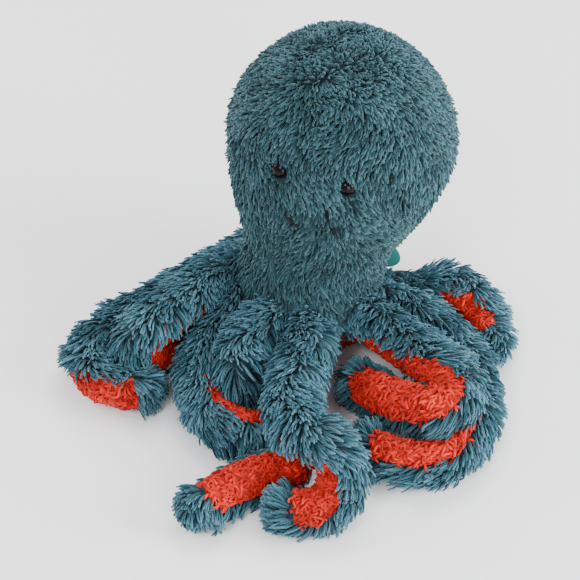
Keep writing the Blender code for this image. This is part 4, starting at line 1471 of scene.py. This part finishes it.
@dataclass
class Smile:
    """The stitched mouth: a twisted thread that dips in and out of the pile."""

    sack: Sack
    finishes: Finishes
    rise: float = 112.5 * MM
    sag: float = 6 * MM
    turn: float = math.radians(-5)
    half_angle: float = math.radians(15.5)
    lift: float = 4.6 * MM
    sunk: float = 2.2 * MM
    thread: float = 1.0 * MM
    right_shown: float = 0.42
    left_shown: float = -0.62

    def limits(self, rises: Array, angles: Array) -> Array:
        """Greatest length of locks above the thread: short over its ends, free over its middle."""
        seam = wrapped(angles)
        across = (seam - self.turn) / self.half_angle
        above = rises - (self.rise - self.sag * (1 - across ** 2))
        shown = (np.abs(across) < 1.12) & ((across > self.right_shown) | (across < self.left_shown))
        near = shown & (above > -1 * MM) & (above < 14 * MM)
        return np.where(near, np.maximum(above, 0.0) / 0.9 + 1.6 * MM, math.inf)

    def build(self) -> None:
        """Lays the thread: rise = rise - sag (1 - a^2), angle = turn + half_angle a, for a from -1 to 1.

        It lies deep in the pile at its middle, and comes up at its ends.
        """
        across = np.linspace(-1.0, 1.0, 90)
        rises = self.rise - self.sag * (1 - across ** 2)
        bite = 1.0 - 0.55 * np.abs(np.sin(across * 7.0)) ** 6
        lift = self.lift * bite - self.sunk * (1.0 - smoothstep(np.abs(across + 0.1), 0.35, 0.65))
        points, _, _ = self.sack.limb.surface(rises, self.turn + across * self.half_angle, lift)
        radii = self.thread * np.sqrt(np.clip((1 - across ** 2) * 40, 0.05, 1.0))
        grid = tube_grid(points, radii, 10)
        made = surface_object("mouth_thread", grid, self.finishes.thread, loop_u=True)
        settle(made, "sack", "mouth_stitch")


@dataclass
class Tag:
    """The bare leaf-shaped label out of the side seam."""

    finishes: Finishes
    thickness: float = 0.7 * MM
    clear: float = 19 * MM
    shortest: float = 2 * MM

    def limits(self, points: Array) -> Array:
        """Greatest length of locks near the tag, so that its leaf stays in sight."""
        middle = node_points("side_tag").mean(axis=0)
        apart = np.linalg.norm(points - middle, axis=1)
        return self.shortest + np.maximum(apart - self.clear, 0.0) * 0.8

    def build(self) -> None:
        """Bends the leaf a little: the surface is an ellipse of u and v that curls along its length."""
        points = node_points("side_tag")
        middle = points.mean(axis=0)
        _, _, axes = np.linalg.svd(points - middle)
        along = axes[0] * np.sign(axes[0][2])
        out = axes[1] * np.sign(axes[1] @ (middle - [0.0, 0.06, middle[2]]))
        face = np.cross(out, along)
        local = (points - middle) @ np.stack([out, along, face]).T
        reach = local[:, 0].max() - local[:, 0].min()
        half = (local[:, 1].max() - local[:, 1].min()) / 2
        root = middle + out * local[:, 0].min()
        v = np.linspace(-1.0, 1.0, 40)
        u = np.linspace(0.0, 1.0, 18)
        width = reach * np.clip(1 - v ** 2, 0.0, 1.0) ** 0.55
        grid_u = u[None] * width[:, None]
        curl = 1.6 * MM * np.sin(math.pi * u[None] * 0.9) * (1 - 0.3 * v[:, None] ** 2)
        sheet = root + grid_u[..., None] * out + (v * half)[:, None, None] * along
        front = sheet + (curl + self.thickness / 2)[..., None] * face
        back = sheet + (curl - self.thickness / 2)[..., None] * face
        grid = np.concatenate([front, back[:, ::-1]], axis=1)
        made = surface_object("side_label", grid, self.finishes.tag, loop_u=True)
        settle(made, "sack", "side_tag")


# Studio


LAMPS = (  # name, place in metres, size in metres, power in watts
    ("key", (-0.6, -1.1, 1.5), 0.55, 17.0),
    ("low", (0.6, -1.6, 0.5), 0.9, 25.0),
    ("right", (1.5, -0.3, 0.6), 1.0, 46.0),
    ("left", (-1.5, 0.5, 0.9), 1.0, 20.0),
    ("back", (0.2, 1.1, 1.6), 1.4, 36.0),
)


@dataclass
class Studio:
    """A pale floor, soft lights and the camera at the photograph's angle."""

    target: Triple = (1.2 * MM, 0.21 * MM, 69 * MM)
    pitch: float = math.radians(42)
    distance: float = 1.3
    lens: float = 115.3

    def build(self) -> None:
        """Sets up the floor, the lights, the world and the camera."""
        self.floor()
        for lamp in LAMPS:
            self.light(*lamp)
        world = bpy.data.worlds.new("studio")
        world.use_nodes = True
        sky = world.node_tree.nodes["Background"].inputs
        sky["Color"].default_value = (0.93, 0.95, 1.0, 1.0)
        sky["Strength"].default_value = 0.95
        bpy.context.scene.world = world
        self.camera()

    def floor(self) -> None:
        """A wide flat floor of pale paper."""
        graph = Graph("pale_paper")
        fibre = graph.noise(graph.place(), 120.0, 4.0)
        paper = graph.dress(
            Base_Color=graph.mixed(fibre, (0.86, 0.86, 0.86), (0.90, 0.90, 0.90)),
            Roughness=fibre * 0.1 + 0.8,
        )
        edge = np.linspace(-4.0, 4.0, 3)
        x, y = np.meshgrid(edge, edge)
        grid = np.stack([x, y, 0.0 * x], axis=-1)
        surface_object("studio_floor", grid, paper)

    def light(self, name: str, place: Triple, size: float, power: float) -> None:
        """An area light that faces the toy."""
        data = bpy.data.lights.new(name, "AREA")
        data.size = size
        data.energy = power
        made = bpy.data.objects.new(name, data)
        made.location = place
        made.rotation_euler = self.facing(np.array(self.target) - place)
        bpy.context.scene.collection.objects.link(made)

    def facing(self, way: Array) -> Triple:
        """Turn that points a light's or camera's -Z along a way, level with the horizon."""
        flat = math.hypot(way[0], way[1])
        return (math.pi / 2 + math.atan2(way[2], flat), 0.0, math.atan2(-way[0], way[1]))

    def camera(self) -> None:
        """The camera, at the photograph's pitch and size."""
        data = bpy.data.cameras.new("camera")
        data.lens = self.lens
        data.clip_end = 20.0
        made = bpy.data.objects.new("camera", data)
        back = np.array([0.0, -math.cos(self.pitch), math.sin(self.pitch)])
        made.location = np.array(self.target) + back * self.distance
        made.rotation_euler = self.facing(-back)
        bpy.context.scene.collection.objects.link(made)
        bpy.context.scene.camera = made


def main() -> None:
    """Builds the toy's looks piece by piece."""
    logging.basicConfig(level=logging.INFO, format="%(name)s: %(message)s")
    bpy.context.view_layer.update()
    finishes = Finishes()
    sack = Sack(finishes)
    eyes = Eyes(sack, finishes)
    smile = Smile(sack, finishes)
    tag = Tag(finishes)
    sack.coat(eyes, smile, tag)
    sack.base()
    sack.inside()
    for index, route in enumerate(ROUTES):
        arm = Arm(route, sack, tag, finishes, seed=1000 + 200 * index)
        arm.coat()
        arm.filling()
    eyes.build()
    smile.build()
    tag.build()
    Studio().build()


if __name__ == "__main__":
    main()
